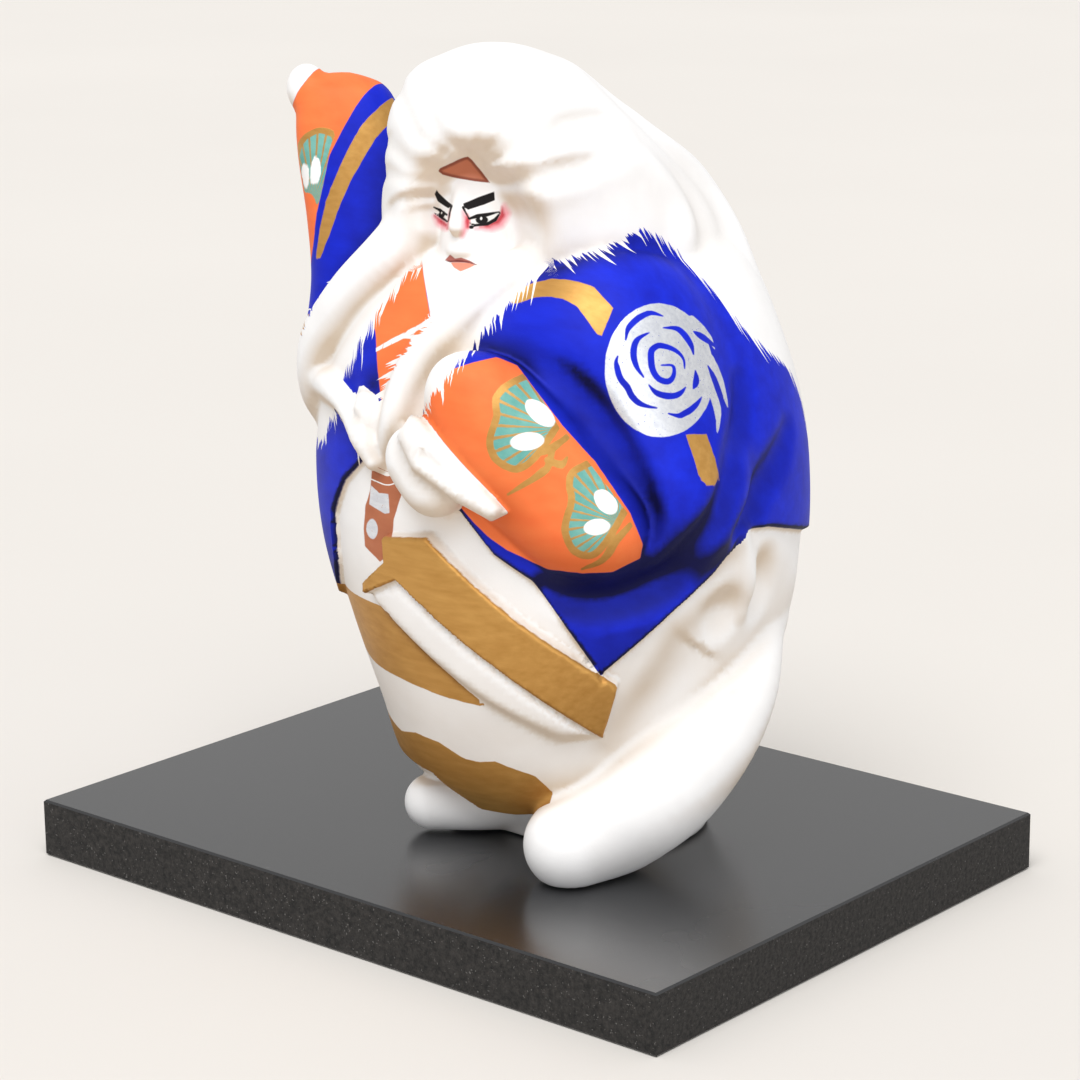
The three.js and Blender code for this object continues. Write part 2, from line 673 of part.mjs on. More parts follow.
// A heap that always gives back the entry with the smallest cost
class SmallestFirst {
  constructor() {
    this.items = [];
  }

  push(item) {
    const items = this.items;
    let at = items.length;
    items.push(item);
    while (at > 0) {
      const parent = (at - 1) >> 1;
      if (items[parent].cost <= item.cost) {
        break;
      }
      items[at] = items[parent];
      at = parent;
    }
    items[at] = item;
  }

  pop() {
    const items = this.items;
    const top = items[0];
    const item = items.pop();
    if (items.length > 0) {
      let at = 0;
      for (;;) {
        let child = 2 * at + 1;
        if (child >= items.length) {
          break;
        }
        if (child + 1 < items.length && items[child + 1].cost < items[child].cost) {
          child += 1;
        }
        if (items[child].cost >= item.cost) {
          break;
        }
        items[at] = items[child];
        at = child;
      }
      items[at] = item;
    }
    return top;
  }
}

// Draws edges together, least visible first, until the wanted number of triangles is left
function thinned(surface, wanted) {
  const points = [];
  for (let v = 0; v < surface.points.length; v += 3) {
    points.push(new THREE.Vector3(...surface.points.slice(v, v + 3)));
  }
  const faces = [];
  const facesAt = points.map(() => new Set());
  for (let f = 0; f < surface.triangles.length; f += 3) {
    const face = surface.triangles.slice(f, f + 3);
    face.forEach((v) => facesAt[v].add(faces.length));
    faces.push(face);
  }
  // Sum of squared distances to the planes met at a point, as ten numbers
  const planes = points.map(() => new Float64Array(10));
  const normalOf = (a, b, c) => b.clone().sub(a).cross(c.clone().sub(a));
  for (const face of faces) {
    const [a, b, c] = face.map((v) => points[v]);
    const normal = normalOf(a, b, c);
    const area = normal.length() / 2;
    normal.normalize();
    const n = [normal.x, normal.y, normal.z, -normal.dot(a)];
    for (const v of face) {
      let slot = 0;
      for (let i = 0; i < 4; i++) {
        for (let j = i; j < 4; j++) {
          planes[v][slot] += n[i] * n[j] * area;
          slot += 1;
        }
      }
    }
  }
  const costAt = (q, { x, y, z }) => {
    const squares = q[0] * x * x + q[4] * y * y + q[7] * z * z + q[9];
    return squares + 2 * (q[1] * x * y + q[2] * x * z + q[3] * x + q[5] * y * z + q[6] * y + q[8] * z);
  };
  const bestPlace = (a, b) => {
    const q = planes[a].map((value, i) => value + planes[b][i]);
    const middle = points[a].clone().add(points[b]).multiplyScalar(0.5);
    const places = [middle, points[a].clone(), points[b].clone()];
    const span = points[a].distanceTo(points[b]);
    const matrix = new THREE.Matrix3().set(q[0], q[1], q[2], q[1], q[4], q[5], q[2], q[5], q[7]);
    if (Math.abs(matrix.determinant()) > 1e-3) {
      const solved = new THREE.Vector3(-q[3], -q[6], -q[8]).applyMatrix3(matrix.invert());
      if (solved.distanceTo(middle) < span) {
        places.push(solved);
      }
    }
    let best = null;
    for (const p of places) {
      const cost = Math.max(costAt(q, p), 0) + 1e-4 * span * span;
      if (best === null || cost < best.cost) {
        best = { p, cost };
      }
    }
    return best;
  };
  const neighboursOf = (v) => {
    const around = new Set();
    for (const f of facesAt[v]) {
      faces[f].forEach((other) => around.add(other));
    }
    around.delete(v);
    return around;
  };
  const version = new Int32Array(points.length);
  const queue = new SmallestFirst();
  const offer = (a, b) => {
    const { p, cost } = bestPlace(a, b);
    queue.push({ a, b, p, cost, stamp: version[a] + version[b] });
  };
  const longestEdge = ([a, b, c]) => Math.max(a.distanceTo(b), b.distanceTo(c), c.distanceTo(a));
  // Least height of a triangle against its longest edge
  let leanest = 0.1;
  const keepsShape = (v, other, p) => {
    for (const f of facesAt[v]) {
      const face = faces[f];
      if (face.includes(other)) {
        continue;
      }
      const corners = face.map((n) => points[n]);
      const moved = face.map((n) => (n === v ? p : points[n]));
      const before = normalOf(...corners);
      const after = normalOf(...moved);
      const fullness = after.length() / longestEdge(moved) ** 2;
      const wasFull = before.length() / longestEdge(corners) ** 2;
      if (fullness < Math.min(leanest, wasFull) || before.dot(after) < 0.2 * before.length() * after.length()) {
        return false;
      }
    }
    return true;
  };
  let left = faces.length;
  const draw = ({ a, b, p, stamp }) => {
    if (version[a] < 0 || version[b] < 0 || stamp !== version[a] + version[b]) {
      return;
    }
    const shared = [...neighboursOf(a)].filter((v) => neighboursOf(b).has(v));
    if (shared.length !== 2 || !keepsShape(a, b, p) || !keepsShape(b, a, p)) {
      return;
    }
    for (const f of [...facesAt[b]]) {
      if (faces[f].includes(a)) {
        faces[f].forEach((v) => facesAt[v].delete(f));
        faces[f] = null;
        left -= 1;
      } else {
        faces[f] = faces[f].map((v) => (v === b ? a : v));
        facesAt[a].add(f);
      }
    }
    points[a].copy(p);
    planes[a] = planes[a].map((value, i) => value + planes[b][i]);
    version[b] = -1;
    version[a] += 1;
    neighboursOf(a).forEach((other) => offer(a, other));
  };
  while (left > wanted && leanest > 0.005) {
    points.forEach((_, v) => version[v] >= 0 && neighboursOf(v).forEach((other) => other > v && offer(v, other)));
    while (left > wanted && queue.items.length > 0) {
      draw(queue.pop());
    }
    queue.items.length = 0;
    leanest *= 0.6;
  }
  const kept = faces.filter((face) => face !== null);
  return { points, faces: kept };
}

const wasm = await Module();
wasm.setup();

// A closed solid from three.js geometry, ready for cutting
function solidOf(geometry) {
  const plain = geometry.clone();
  plain.deleteAttribute('normal');
  plain.deleteAttribute('uv');
  const merged = mergeVertices(plain, 1e-5);
  const vertProperties = new Float32Array(merged.attributes.position.array);
  const triVerts = new Uint32Array(merged.index.array);
  return new wasm.Manifold(new wasm.Mesh({ numProp: 3, vertProperties, triVerts }));
}

function geometryOf(solid) {
  const mesh = solid.getMesh();
  const geometry = new THREE.BufferGeometry();
  geometry.setAttribute('position', new THREE.BufferAttribute(new Float32Array(mesh.vertProperties), 3));
  geometry.setIndex(new THREE.BufferAttribute(new Uint32Array(mesh.triVerts), 1));
  geometry.computeVertexNormals();
  return geometry;
}

function figureGeometry() {
  const field = (p) => Math.max(figureDistance(p), fieldFoot - p[2]);
  const even = evened(settled(evened(settled(surfaceOf(field), field), 2), field), 1);
  const { points, faces } = thinned(even, figureTriangles);
  const geometry = new THREE.BufferGeometry();
  const flat = points.flatMap((p) => [p.x * share, p.y * share, p.z * share]);
  geometry.setAttribute('position', new THREE.BufferAttribute(new Float32Array(flat), 3));
  geometry.setIndex(faces.flat());
  const wide = 2 * figureHeight;
  const below = new THREE.BoxGeometry(wide, wide, wide).translate(0, 0, -wide / 2);
  const seated = solidOf(geometry).subtract(solidOf(below));
  return geometryOf(seated).translate(0, 0, plinthThickness + seatGap);
}

function plinthGeometry() {
  const half = [plinthLength / 2 - plinthEdgeBevel, plinthDepth / 2 - plinthEdgeBevel];
  const outline = new THREE.Shape();
  outline.moveTo(-half[0], -half[1]);
  outline.lineTo(half[0], -half[1]);
  outline.lineTo(half[0], half[1]);
  outline.lineTo(-half[0], half[1]);
  outline.closePath();
  const board = new THREE.ExtrudeGeometry(outline, {
    depth: plinthThickness - 2 * plinthEdgeBevel,
    bevelEnabled: true,
    bevelThickness: plinthEdgeBevel,
    bevelSize: plinthEdgeBevel,
    bevelSegments: 1,
  });
  return board.translate(0, 0, plinthEdgeBevel);
}

const part = new THREE.Group();

const figure = new THREE.Mesh(figureGeometry(), new THREE.MeshStandardMaterial(clayWhite));
figure.name = 'figure';
part.add(figure);

const plinth = new THREE.Mesh(plinthGeometry(), new THREE.MeshStandardMaterial(boardBlack));
plinth.name = 'plinth_board';
part.add(plinth);

export default part;
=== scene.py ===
import math
import bpy
import bmesh
import numpy as np
from mathutils import Matrix, Vector


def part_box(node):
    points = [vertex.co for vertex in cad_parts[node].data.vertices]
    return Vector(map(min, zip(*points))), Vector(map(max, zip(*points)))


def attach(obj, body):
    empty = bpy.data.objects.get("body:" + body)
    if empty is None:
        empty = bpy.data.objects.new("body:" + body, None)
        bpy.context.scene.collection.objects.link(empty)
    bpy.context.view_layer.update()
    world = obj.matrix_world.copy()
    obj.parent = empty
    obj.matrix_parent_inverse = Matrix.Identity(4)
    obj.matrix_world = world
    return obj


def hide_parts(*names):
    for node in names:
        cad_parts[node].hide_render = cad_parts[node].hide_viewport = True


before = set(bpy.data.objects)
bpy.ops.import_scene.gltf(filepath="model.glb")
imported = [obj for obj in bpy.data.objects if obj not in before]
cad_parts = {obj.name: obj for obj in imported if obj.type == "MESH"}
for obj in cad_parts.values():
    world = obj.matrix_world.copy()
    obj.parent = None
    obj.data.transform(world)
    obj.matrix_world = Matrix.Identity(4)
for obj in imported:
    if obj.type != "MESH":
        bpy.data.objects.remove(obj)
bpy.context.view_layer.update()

# Sizes: the doll is laid out in shares, each one hundredth of its height, above its seat

SHARE = 0.00193
SEAT = 0.0153

# The view of the front: angles in degrees, the eye in metres, the lens in pixels of the frame

VIEW_TURN = 40.753
VIEW_RISE = 14.867
VIEW_ROLL = -0.562
EYE = (0.508889, -0.586497, 0.290649)
LENS_LENGTH = 3249.4
FRAME_SIDE = 1080
SENSOR = 36.0

# The robe is unrolled round an upright axis, as a sheet on a drum of this radius

SHEET = 28.0
AXIS = 5.0

# Cloth: how far it stands out, in shares, and the pleats round the trousers

COAT_THICK = 0.9
SASH_THICK = 1.7
FOLD_THICK = 1.2
PLEAT_DEPTH = 0.45
PLEATS = 11

# Fine mesh: cell and weld in metres, probe and longest step in shares

VOXEL = 0.00135
WELD = 0.00002
PROBE = 0.08
LONGEST_STEP = 0.7

# Paint: how near to the view its areas reach, and the values for no paint at all, in shares

FRONT_NEAR = 24
FACE_NEAR = 26
SLEEVE_NEAR = 10
STRAND_NEAR = 3
PATCH_NEAR = -4
NO_PAINT = 9.0
GAP_LIMIT = 6.0
RUN_LIMIT = 200

# Soft joining of forms


def joined(a, b, k):
    h = np.maximum(k - np.abs(a - b), 0) / k
    return np.minimum(a, b) - h * h * k * 0.25


def common(a, b, k):
    return -joined(-a, -b, k)


def ease(d, soft):
    t = np.clip(0.5 - d / soft, 0, 1)
    return t * t * (3 - 2 * t)


def turned(q, about_z, about_x=0.0, about_y=0.0):
    a, b, c = np.radians([about_z, about_x, about_y])
    x, y, z = q[:, 0], q[:, 1], q[:, 2]
    x, y = np.cos(a) * x + np.sin(a) * y, -np.sin(a) * x + np.cos(a) * y
    y, z = np.cos(b) * y + np.sin(b) * z, -np.sin(b) * y + np.cos(b) * z
    z, x = np.cos(c) * z + np.sin(c) * x, -np.sin(c) * z + np.cos(c) * x
    return np.stack([x, y, z], 1)


def egg(p, centre, radii, about_z=0.0, about_x=0.0, about_y=0.0):
    q = turned(p - np.array(centre), about_z, about_x, about_y)
    r = np.array(radii)
    near = np.linalg.norm(q / r, axis=1) + 1e-9
    return near * (near - 1) / (np.linalg.norm(q / r ** 2, axis=1) + 1e-9)


def pillow(p, centre, radii, power):
    """An egg with fuller shoulders."""
    q = np.abs(p - np.array(centre)) + 1e-6
    size = np.linalg.norm(q, axis=1)
    fill = ((q / np.array(radii)) ** power).sum(1) ** (1 / power)
    return size * (1 - 1 / fill)


def cone(p, a, b, ra, rb):
    a = np.array(a, float)
    ab = np.array(b, float) - a
    t = np.clip(((p - a) @ ab) / (ab @ ab), 0, 1)
    return np.linalg.norm(p - a - t[:, None] * ab, axis=1) - (ra + (rb - ra) * t)


def curve_through(points, steps):
    p = np.array(points, float)
    wide = np.vstack([2 * p[0] - p[1], p, 2 * p[-1] - p[-2]])
    out = []
    for i in range(1, len(wide) - 2):
        for j in range(steps):
            t = j / steps
            a, b, c, d = wide[i - 1], wide[i], wide[i + 1], wide[i + 2]
            out.append(0.5 * (2 * b + (c - a) * t + (2 * a - 5 * b + 4 * c - d) * t * t
                              + (3 * b - a - 3 * c + d) * t ** 3))
    out.append(p[-1])
    return np.array(out)


def limb(p, rows, steps=6):
    """Distance to a rounded limb that follows a line of points with radii, and the place along it."""
    s = curve_through(rows, steps)
    lo = s[:, :3].min(0) - s[:, 3].max() - 8
    hi = s[:, :3].max(0) + s[:, 3].max() + 8
    gap = np.sqrt((np.maximum(np.maximum(lo - p, p - hi), 0) ** 2).sum(1)) + 8
    run = np.zeros(len(p))
    inside = np.all((p > lo) & (p < hi), axis=1)
    if not inside.any():
        return gap, run
    q = p[inside]
    near = np.full(len(q), 1e9)
    radius = np.zeros(len(q))
    along = np.zeros(len(q))
    done = 0.0
    for i in range(len(s) - 1):
        a, ab = s[i, :3], s[i + 1, :3] - s[i, :3]
        t = np.clip(((q - a) @ ab) / (ab @ ab), 0, 1)
        away = ((q - a - t[:, None] * ab) ** 2).sum(1)
        closer = away < near
        near = np.where(closer, away, near)
        radius = np.where(closer, s[i, 3] + (s[i + 1, 3] - s[i, 3]) * t, radius)
        length = np.linalg.norm(ab)
        along = np.where(closer, done + length * t, along)
        done += length
    gap[inside] = np.sqrt(near) - radius
    run[inside] = along
    return gap, run


def smooth_rows(heights, values, z):
    h = np.array(heights, float)
    v = np.array(values, float)
    m = np.zeros(len(h))
    m[1:-1] = (v[2:] - v[:-2]) / (h[2:] - h[:-2])
    zc = np.clip(z, h[0], h[-1])
    i = np.clip(np.searchsorted(h, zc, side="right") - 1, 0, len(h) - 2)
    w = h[i + 1] - h[i]
    t = (zc - h[i]) / w
    return ((2 * t ** 3 - 3 * t ** 2 + 1) * v[i] + (t ** 3 - 2 * t ** 2 + t) * w * m[i]
            + (3 * t ** 2 - 2 * t ** 3) * v[i + 1] + (t ** 3 - t ** 2) * w * m[i + 1])


def loft(p, rows, power):
    h = [r[0] for r in rows]
    cx, cy, a, b = [smooth_rows(h, [r[i] for r in rows], p[:, 2]) for i in (1, 2, 3, 4)]
    x, y = p[:, 0] - cx, p[:, 1] - cy
    q = np.hypot(x, y) + 1e-6
    rho = ((np.abs(x) / a) ** power + (np.abs(y) / b) ** power) ** (1 / power) + 1e-6
    return q * (1 - 1 / rho)


# Flat outlines, on the unrolled robe or on the plane that faces the view


def plane(p):
    """Across, up and nearness on the plane that faces the view of the front."""
    a, e = math.radians(VIEW_TURN), math.radians(VIEW_RISE)
    across = p @ np.array([math.cos(a), math.sin(a), 0])
    up = p @ np.array([-math.sin(a) * math.sin(e), math.cos(a) * math.sin(e), math.cos(e)])
    near = p @ np.array([math.sin(a) * math.cos(e), -math.cos(a) * math.cos(e), math.sin(e)])
    return across, up, near


def path_gap(s, z, points, widths=None):
    """Distance to a line of points, less its half width where one is given."""
    d = np.full(s.shape, 1e9)
    pts = np.array(points, float)
    w = np.zeros(len(pts)) if widths is None else np.interp(
        np.linspace(0, 1, len(pts)), np.linspace(0, 1, len(widths)), widths)
    for i in range(len(pts) - 1):
        (x0, z0), (x1, z1) = pts[i], pts[i + 1]
        ex, ez = x1 - x0, z1 - z0
        k = np.clip(((s - x0) * ex + (z - z0) * ez) / (ex * ex + ez * ez + 1e-9), 0, 1)
        d = np.minimum(d, np.hypot(s - x0 - ex * k, z - z0 - ez * k) - (w[i] + (w[i + 1] - w[i]) * k))
    return d


def outline_gap(s, z, points):
    """Distance to a closed outline, below zero inside it."""
    pts = [tuple(q) for q in points]
    sign = np.ones(s.shape)
    for (x0, z0), (x1, z1) in zip(pts, pts[1:] + pts[:1]):
        cross = (x1 - x0) * (z - z0) - (s - x0) * (z1 - z0)
        up = (z0 <= z) & (z1 > z) & (cross < 0)
        down = (z1 <= z) & (z0 > z) & (cross > 0)
        sign = np.where(up | down, -sign, sign)
    return path_gap(s, z, pts + pts[:1]) * sign


def rounded(points, steps=4):
    """The same closed outline with its corners eased into a curve."""
    pts = [tuple(q) for q in points]
    line = curve_through(pts[-1:] + pts + pts[:2], steps)
    return line[steps:-steps - 1]


def oval_gap(s, z, centre, half, turn):
    a = math.radians(turn)
    x, y = s - centre[0], z - centre[1]
    along = (x * math.cos(a) + y * math.sin(a)) / half[0]
    beside = (-x * math.sin(a) + y * math.cos(a)) / half[1]
    return (np.hypot(along, beside) - 1) * min(half)


# Rows and outlines of the forms

BODY = [(0, 7.5, 0.8, 16.5, 15.5), (5, 7.3, 0.4, 18.3, 18.0), (10, 7.1, 0.0, 21.3, 21.6),
        (18, 7.0, 0, 23.4, 24.2), (28, 6.4, 0.3, 27.2, 26.4), (38, 5.5, 0.5, 30.0, 27.7),
        (48, 5.0, 0.6, 30.4, 28.0), (56, 4.8, 0.8, 29.2, 27.2), (63, 4.4, 1.0, 27.2, 25.6),
        (70, 4, 1.2, 24.2, 23.2), (76, 4, 1.5, 19, 19.5), (81, 4, 1.8, 12, 14)]
MANE = [(36, 5, 9.6, 19.6, 20.6), (48, 5.0, 9.0, 21.0, 21.8), (60, 4.6, 6.5, 22.2, 22.4),
        (68, 4.3, 3.2, 21.4, 21.6), (74, 4.4, 0.6, 20.1, 20.0), (80, 5.2, -2.0, 18.2, 18.2),
        (86, 5.3, -4.2, 16.5, 16.0), (91, 5.1, -6.4, 13.9, 13.2), (95, 4.6, -8.2, 10.4, 9.4),
        (97.8, 3.8, -9.4, 6.8, 5.6), (99.2, 3.8, -9.8, 3.0, 2.4)]
RAISED_SLEEVE = [(56, -19.2, 9.0, 10.4, 7.6), (60, -19.0, 10, 9.9, 7.5), (68, -18.9, 11.5, 8.9, 7.0),
                 (76, -19.7, 12.5, 8.5, 6.4), (84, -21.4, 13.6, 7.8, 5.6), (89, -22.6, 14.4, 6.7, 4.9),
                 (92.5, -23.2, 14.8, 5.2, 3.8), (94.6, -23.5, 15, 2.6, 2.0)]
COAT_HEM = [(-180, 34), (-120, 33), (-60, 30), (-42, 31), (-35, 36), (-32, 43), (-25, 47.7), (-13, 52.5),
            (0, 56), (9, 55), (16, 47.3), (25, 42.3), (34, 39.5), (40, 35.2), (50, 27.5), (67, 35.2),
            (76, 38.9), (84, 43.8), (95, 43), (115, 40), (150, 36), (180, 34)]
SASH = [(-7, 42.5), (7, 43.6), (31, 34.3), (54, 26.2), (51, 19.1), (25, 28.2), (-3, 37.4), (-17, 34.1),
        (-16, 35.9), (-7, 39.3)]
WHITE_FOLD = [(-16, 35), (-3, 37.4), (25, 28.2), (51, 19.1), (40, 18.6), (21, 22.9), (3, 27.9),
              (-14, 33.0)]
LEG_HEM = [(-40, 11), (-8, 10.2), (8, 5.8), (24, 6.2), (38, 7.4)]
CREASE = [(20.5, -24.0, 66.5, 1.0), (24.3, -22.5, 64.2, 2.0), (27.7, -21.1, 60.4, 2.4),
          (30.8, -20.0, 55.8, 2.5), (33.1, -19.2, 51.0, 2.5), (33.9, -18.4, 46.6, 2.2),
          (33.6, -18.6, 42.6, 1.2)]
SLEEVE_FOOT = [(33.8, 0.8, 61.3, 0.8), (35.4, -1.5, 57.0, 1.2), (38.0, -5.8, 53.9, 1.6),
               (38.9, -7.8, 50.6, 1.8), (38.8, -10.0, 46.6, 2.0), (36.9, -12.5, 42.9, 2.0),
               (33.5, -14.1, 39.0, 2.0), (30.1, -18.4, 37.0, 1.8), (26.1, -22.0, 36.9, 1.5),
               (23.3, -24.2, 38.3, 1.0)]
BACK_CREASE = [(35.3, 8.6, 53.9, 1.0), (36.6, 5.6, 51.5, 1.8), (37.4, 1.0, 48.6, 2.0),
               (37.9, -1.5, 46.0, 2.0), (38.1, -4.0, 44.2, 1.5)]
SIDE_VALLEY = [(28.4, -16.0, 16.0, 2.2), (31.4, -13.0, 20.6, 3.2), (34.6, -10.0, 25.6, 4.2),
               (36.6, -8.4, 29.6, 4.4), (36.4, -6.2, 32.0, 2.6)]
SIDE_PITS = [((36.0, -3.9, 33.5), (2.6, 2.0, 2.2)), ((36.6, 2.9, 35.2), (2.8, 2.4, 4.0))]
SIDE_FOLD = [(35.6, -2.8, 43.5, 0.8), (34.9, -1.3, 39.5, 1.3), (34.6, -0.4, 36.0, 1.2),
             (34.0, -0.6, 32.8, 0.3)]
FACE = np.array([5.1, -11.9, 80.4])
HELD = [(-13.6, 49.6), (-12.3, 48.9), (-2.55, 37.9), (-4.5, 37.0), (-8.6, 39.3), (-13.5, 43.0),
        (-15.3, 47.0)]
KERCHIEF = [(-20.15, 53.5), (-17.6, 51.4), (-17.5, 48.4), (-19.6, 48.6), (-21.0, 50.6)]
RIGHT_STRAND = [(-1.6, -17.6, 79.0, 3.6), (-5.4, -19.0, 74.3, 3.8), (-11.6, -18.6, 68.5, 4.1),
                (-17.4, -17.5, 62.2, 4.0), (-19.6, -16.6, 56.0, 3.2), (-20.8, -15.0, 50.9, 1.2)]
LEFT_STRAND = [(13.6, -15.8, 75.0, 2.6), (11.8, -18.4, 73.5, 3.0), (9.7, -20.6, 71.2, 3.3),
               (7.6, -22.7, 67.7, 3.2), (5.5, -24.0, 64.6, 3.0), (3.6, -25.2, 60.9, 2.8),
               (2.2, -26.6, 56.0, 2.2), (0.1, -26.4, 51.4, 1.0)]
CROWN = (5.0, -11.0, 85.1)
CROWN_RADII = (12.7, 11.0, 14.6)
TEMPLE = [(-6.4, -12.8, 84.0, 3.2), (-4.4, -15.0, 79.0, 3.6), (-2.6, -16.0, 74.2, 3.3)]

# Lines combed into the hair: depth, width and places on the plane that faces the view

HAIR_LINES = [(-0.33, 1.62,
               [(-3.9, 76.6), (-0.6, 75.9), (2.5, 75.2), (5.5, 75.8), (8.4, 77.0), (11.2, 78.4),
                (13.5, 79.8)]),
              (0.49, 1, [(-4.4, 77.3), (-1.2, 76.9), (1.8, 76.9), (4.1, 77.6), (6.9, 77.9)]),
              (-0.33, 1.38,
               [(-3.6, 78.4), (-2.0, 78.8), (1.8, 79.5), (5.6, 80.7), (8.9, 81.3), (12.5, 82.2)]),
              (0.23, 0.62, [(-0.6, 77.9), (2.4, 78.4), (5.9, 79.1), (7.9, 79.3)]),
              (0.59, 1.5,
               [(-4.9, 80.4), (-2.9, 80.4), (-0.5, 80.6), (2.8, 81.8), (5.1, 83.2), (7.7, 84.0),
                (9.7, 84.3)]),
              (0.33, 1.25, [(4.6, 83.3), (6.4, 83.9), (8.4, 84.2)]),
              (0.23, 0.56, [(-3.5, 79.2), (0.6, 80.0), (3.7, 81.3)]),
              (-0.23, 1.5, [(3.5, 86.0), (7.0, 86.8), (10.5, 86.6), (12.6, 84.8)]),
              (0.36, 0.75,
               [(-6.9, 80.3), (-8.5, 81.5), (-10.0, 82.6), (-10.9, 84.5), (-11.4, 86.5), (-11.6, 89.7)]),
              (-0.2, 1.12, [(-8.2, 83.2), (-9.2, 85.0), (-9.6, 88.0)]),
              (0.43, 0.88, [(-9.6, 80.6), (-12.4, 82.6), (-13.6, 85.0), (-14.5, 87.2), (-15.0, 89.4)]),
              (0.4, 1, [(-10.6, 79.2), (-13.4, 79.6), (-15.0, 81.2), (-16.3, 83.0)]),
              (0.33, 1, [(-11.0, 77.7), (-14.0, 77.9), (-16.6, 79.2)]),
              (0.2, 0.56, [(-5.9, 80.6), (-4.9, 82.6), (-4.2, 84.6)]),
              (0.2, 0.56, [(-6.9, 80.7), (-6.5, 83.1), (-5.8, 85.4)]),
              (0.17, 0.56, [(-4.6, 80.7), (-2.6, 82.0), (-1.2, 83.8)]),
              (0.36, 0.62, [(-11.3, 75.9), (-13.2, 75.8), (-15.3, 75.5), (-16.3, 74.6)])]

# Forms of the doll, all as distances in shares, below zero inside


def unrolled(p):
    turn = np.degrees(np.arctan2(p[:, 0] - AXIS, -p[:, 1]))
    return turn, np.radians(turn) * SHEET, p[:, 2]


def rolled(points):
    return [(math.radians(t) * SHEET, z) for t, z in points]


def hem_height(turn, rows):
    return np.interp(turn, [r[0] for r in rows], [r[1] for r in rows])


def robe(p):
    return common(loft(p, BODY, 2.15) * 0.93, p[:, 2] - 80, 8)


def face(p):
    q = turned(p - FACE, 6.0, -6.0, -4.7)
    d = egg(q, (0, 0, 0.5), (5.9, 7.2, 11.0))
    d = joined(d, egg(q, (0, -2.6, -5.2), (4.8, 4.6, 4.6)), 2.5)
    for side in (-1, 1):
        d = common(d, -egg(q, (2.5 * side, -8.4, 2.0), (2.0, 1.6, 1.0)), 1.2)
    d = joined(d, cone(q, (0, -6.3, 2.8), (0, -7.7, -1.6), 0.6, 0.95), 1.0)
    return joined(d, egg(q, (0, -7.0, -4.4), (1.6, 0.8, 0.8)), 0.8)


def hair_relief(p):
    """Grooves and folds combed into the hair: drawn lines in front, even locks behind."""
    across, up, near = plane(p)
    front_relief = 0.0
    for depth, width, line in HAIR_LINES:
        gap = path_gap(across, up, curve_through(line, 3)) / width
        front_relief = front_relief + depth * np.exp(-gap * gap)
    front_relief = front_relief * ease(22 - near, 14)
    front = ease(p[:, 1] + 2, 14)
    turn = np.arctan2(p[:, 0] - AXIS, p[:, 1] + 14)
    lock = (turn + 0.10 * np.sin(p[:, 2] * 0.16 + 1.0) + 0.05 * np.sin(p[:, 2] * 0.33)) * 11
    back = np.sin(lock) + 0.5 * np.sin(2.1 * lock + 0.7)
    back = back * ease(turn - 0.95, 0.9) * ease(-turn - 0.95, 0.9)
    return front_relief * front + (1 - front) * 0.5 * back


def mane(p):
    shell = common(common(loft(p, MANE, 2.0) * 0.85, p[:, 2] - 98.9, 3), 38 - p[:, 2], 6)
    d = joined(shell, pillow(p, CROWN, CROWN_RADII, 2.9), 4)
    d = common(d, -egg(p, (9.8, -23.0, 75.0), (10.8, 8.8, 14.0), -4, 0, 8), 3.0)
    d = joined(d, limb(p, TEMPLE)[0], 3)
    d = joined(d, egg(p, (5, 9.5, 46), (20.6, 21.5, 42), 0, -2), 8)
    shoulder = limb(p, [(13.5, -12.1, 76.5, 2.0), (17.1, -5.1, 77.0, 2.6), (19.5, 1.5, 76.0, 1.6)])[0]
    d = joined(d, shoulder, 5)
    return d + hair_relief(p) * ease(np.abs(d) - 3, 2)


def sleeve(p):
    d = egg(p, (18.7, -7.7, 61.2), (15.0, 15.0, 16.5), VIEW_TURN)
    return joined(d, egg(p, (25.3, -7.4, 49.1), (12.8, 13.8, 13.8), VIEW_TURN, 0, -12), 5)


def lining(p):
    d = egg(p, (19.7, -21.3, 52.6), (8.8, 7.4, 17.0), VIEW_TURN, 0, -42)
    return joined(d, egg(p, (26.6, -18.6, 46.0), (5.8, 4.8, 4.6), VIEW_TURN), 7)


def clothed(p):
    """The robe, the coat with its hanging sleeve and lining, the sash bands and the trousers."""
    turn, run, z = unrolled(p)
    hem = hem_height(turn, COAT_HEM)
    d = robe(p) - COAT_THICK * ease(hem - z, 0.7)
    d = joined(d, sleeve(p), 1.2)
    for crease, soft in ((CREASE, 1.4), (SLEEVE_FOOT, 2.2), (BACK_CREASE, 2.0)):
        d = common(d, -limb(p, crease)[0], soft)
    d = joined(d, lining(p), 0.4)
    low = ease(z - hem + 0.5, 1.0)
    sash = outline_gap(run, z, rolled(SASH))
    fold = outline_gap(run, z, rolled(WHITE_FOLD))
    d = d - SASH_THICK * ease(sash - 0.1, 0.6) * low
    d = d - FOLD_THICK * ease(fold + 0.4, 1.8) * low * ease(-sash - 0.2, 0.5)
    under = 1.0 + 3.4 * ease(np.abs(turn - 4) - 27, 14)
    d = d + under * ease(z - hem_height(turn, LEG_HEM), 1.0) * ease(np.abs(turn) - 40, 8)
    pleat = np.sin(np.radians(turn) * PLEATS + 0.05 * z)
    pleat = pleat * ease(95 - np.abs(turn), 40) * ease(z - hem + 4, 8)
    return d + PLEAT_DEPTH * pleat * ease(8 - z, 8)


def raised_sleeve(p):
    cloth = common(loft(turned(p, VIEW_TURN), RAISED_SLEEVE, 2.4) * 0.9, p[:, 2] - 94.2, 3)
    return common(cloth, 58 - p[:, 2], 4)


def fist(p):
    return egg(p, (-31.0, -6.4, 91.7), (2.8, 3.0, 3.5), 40, 0, -15)


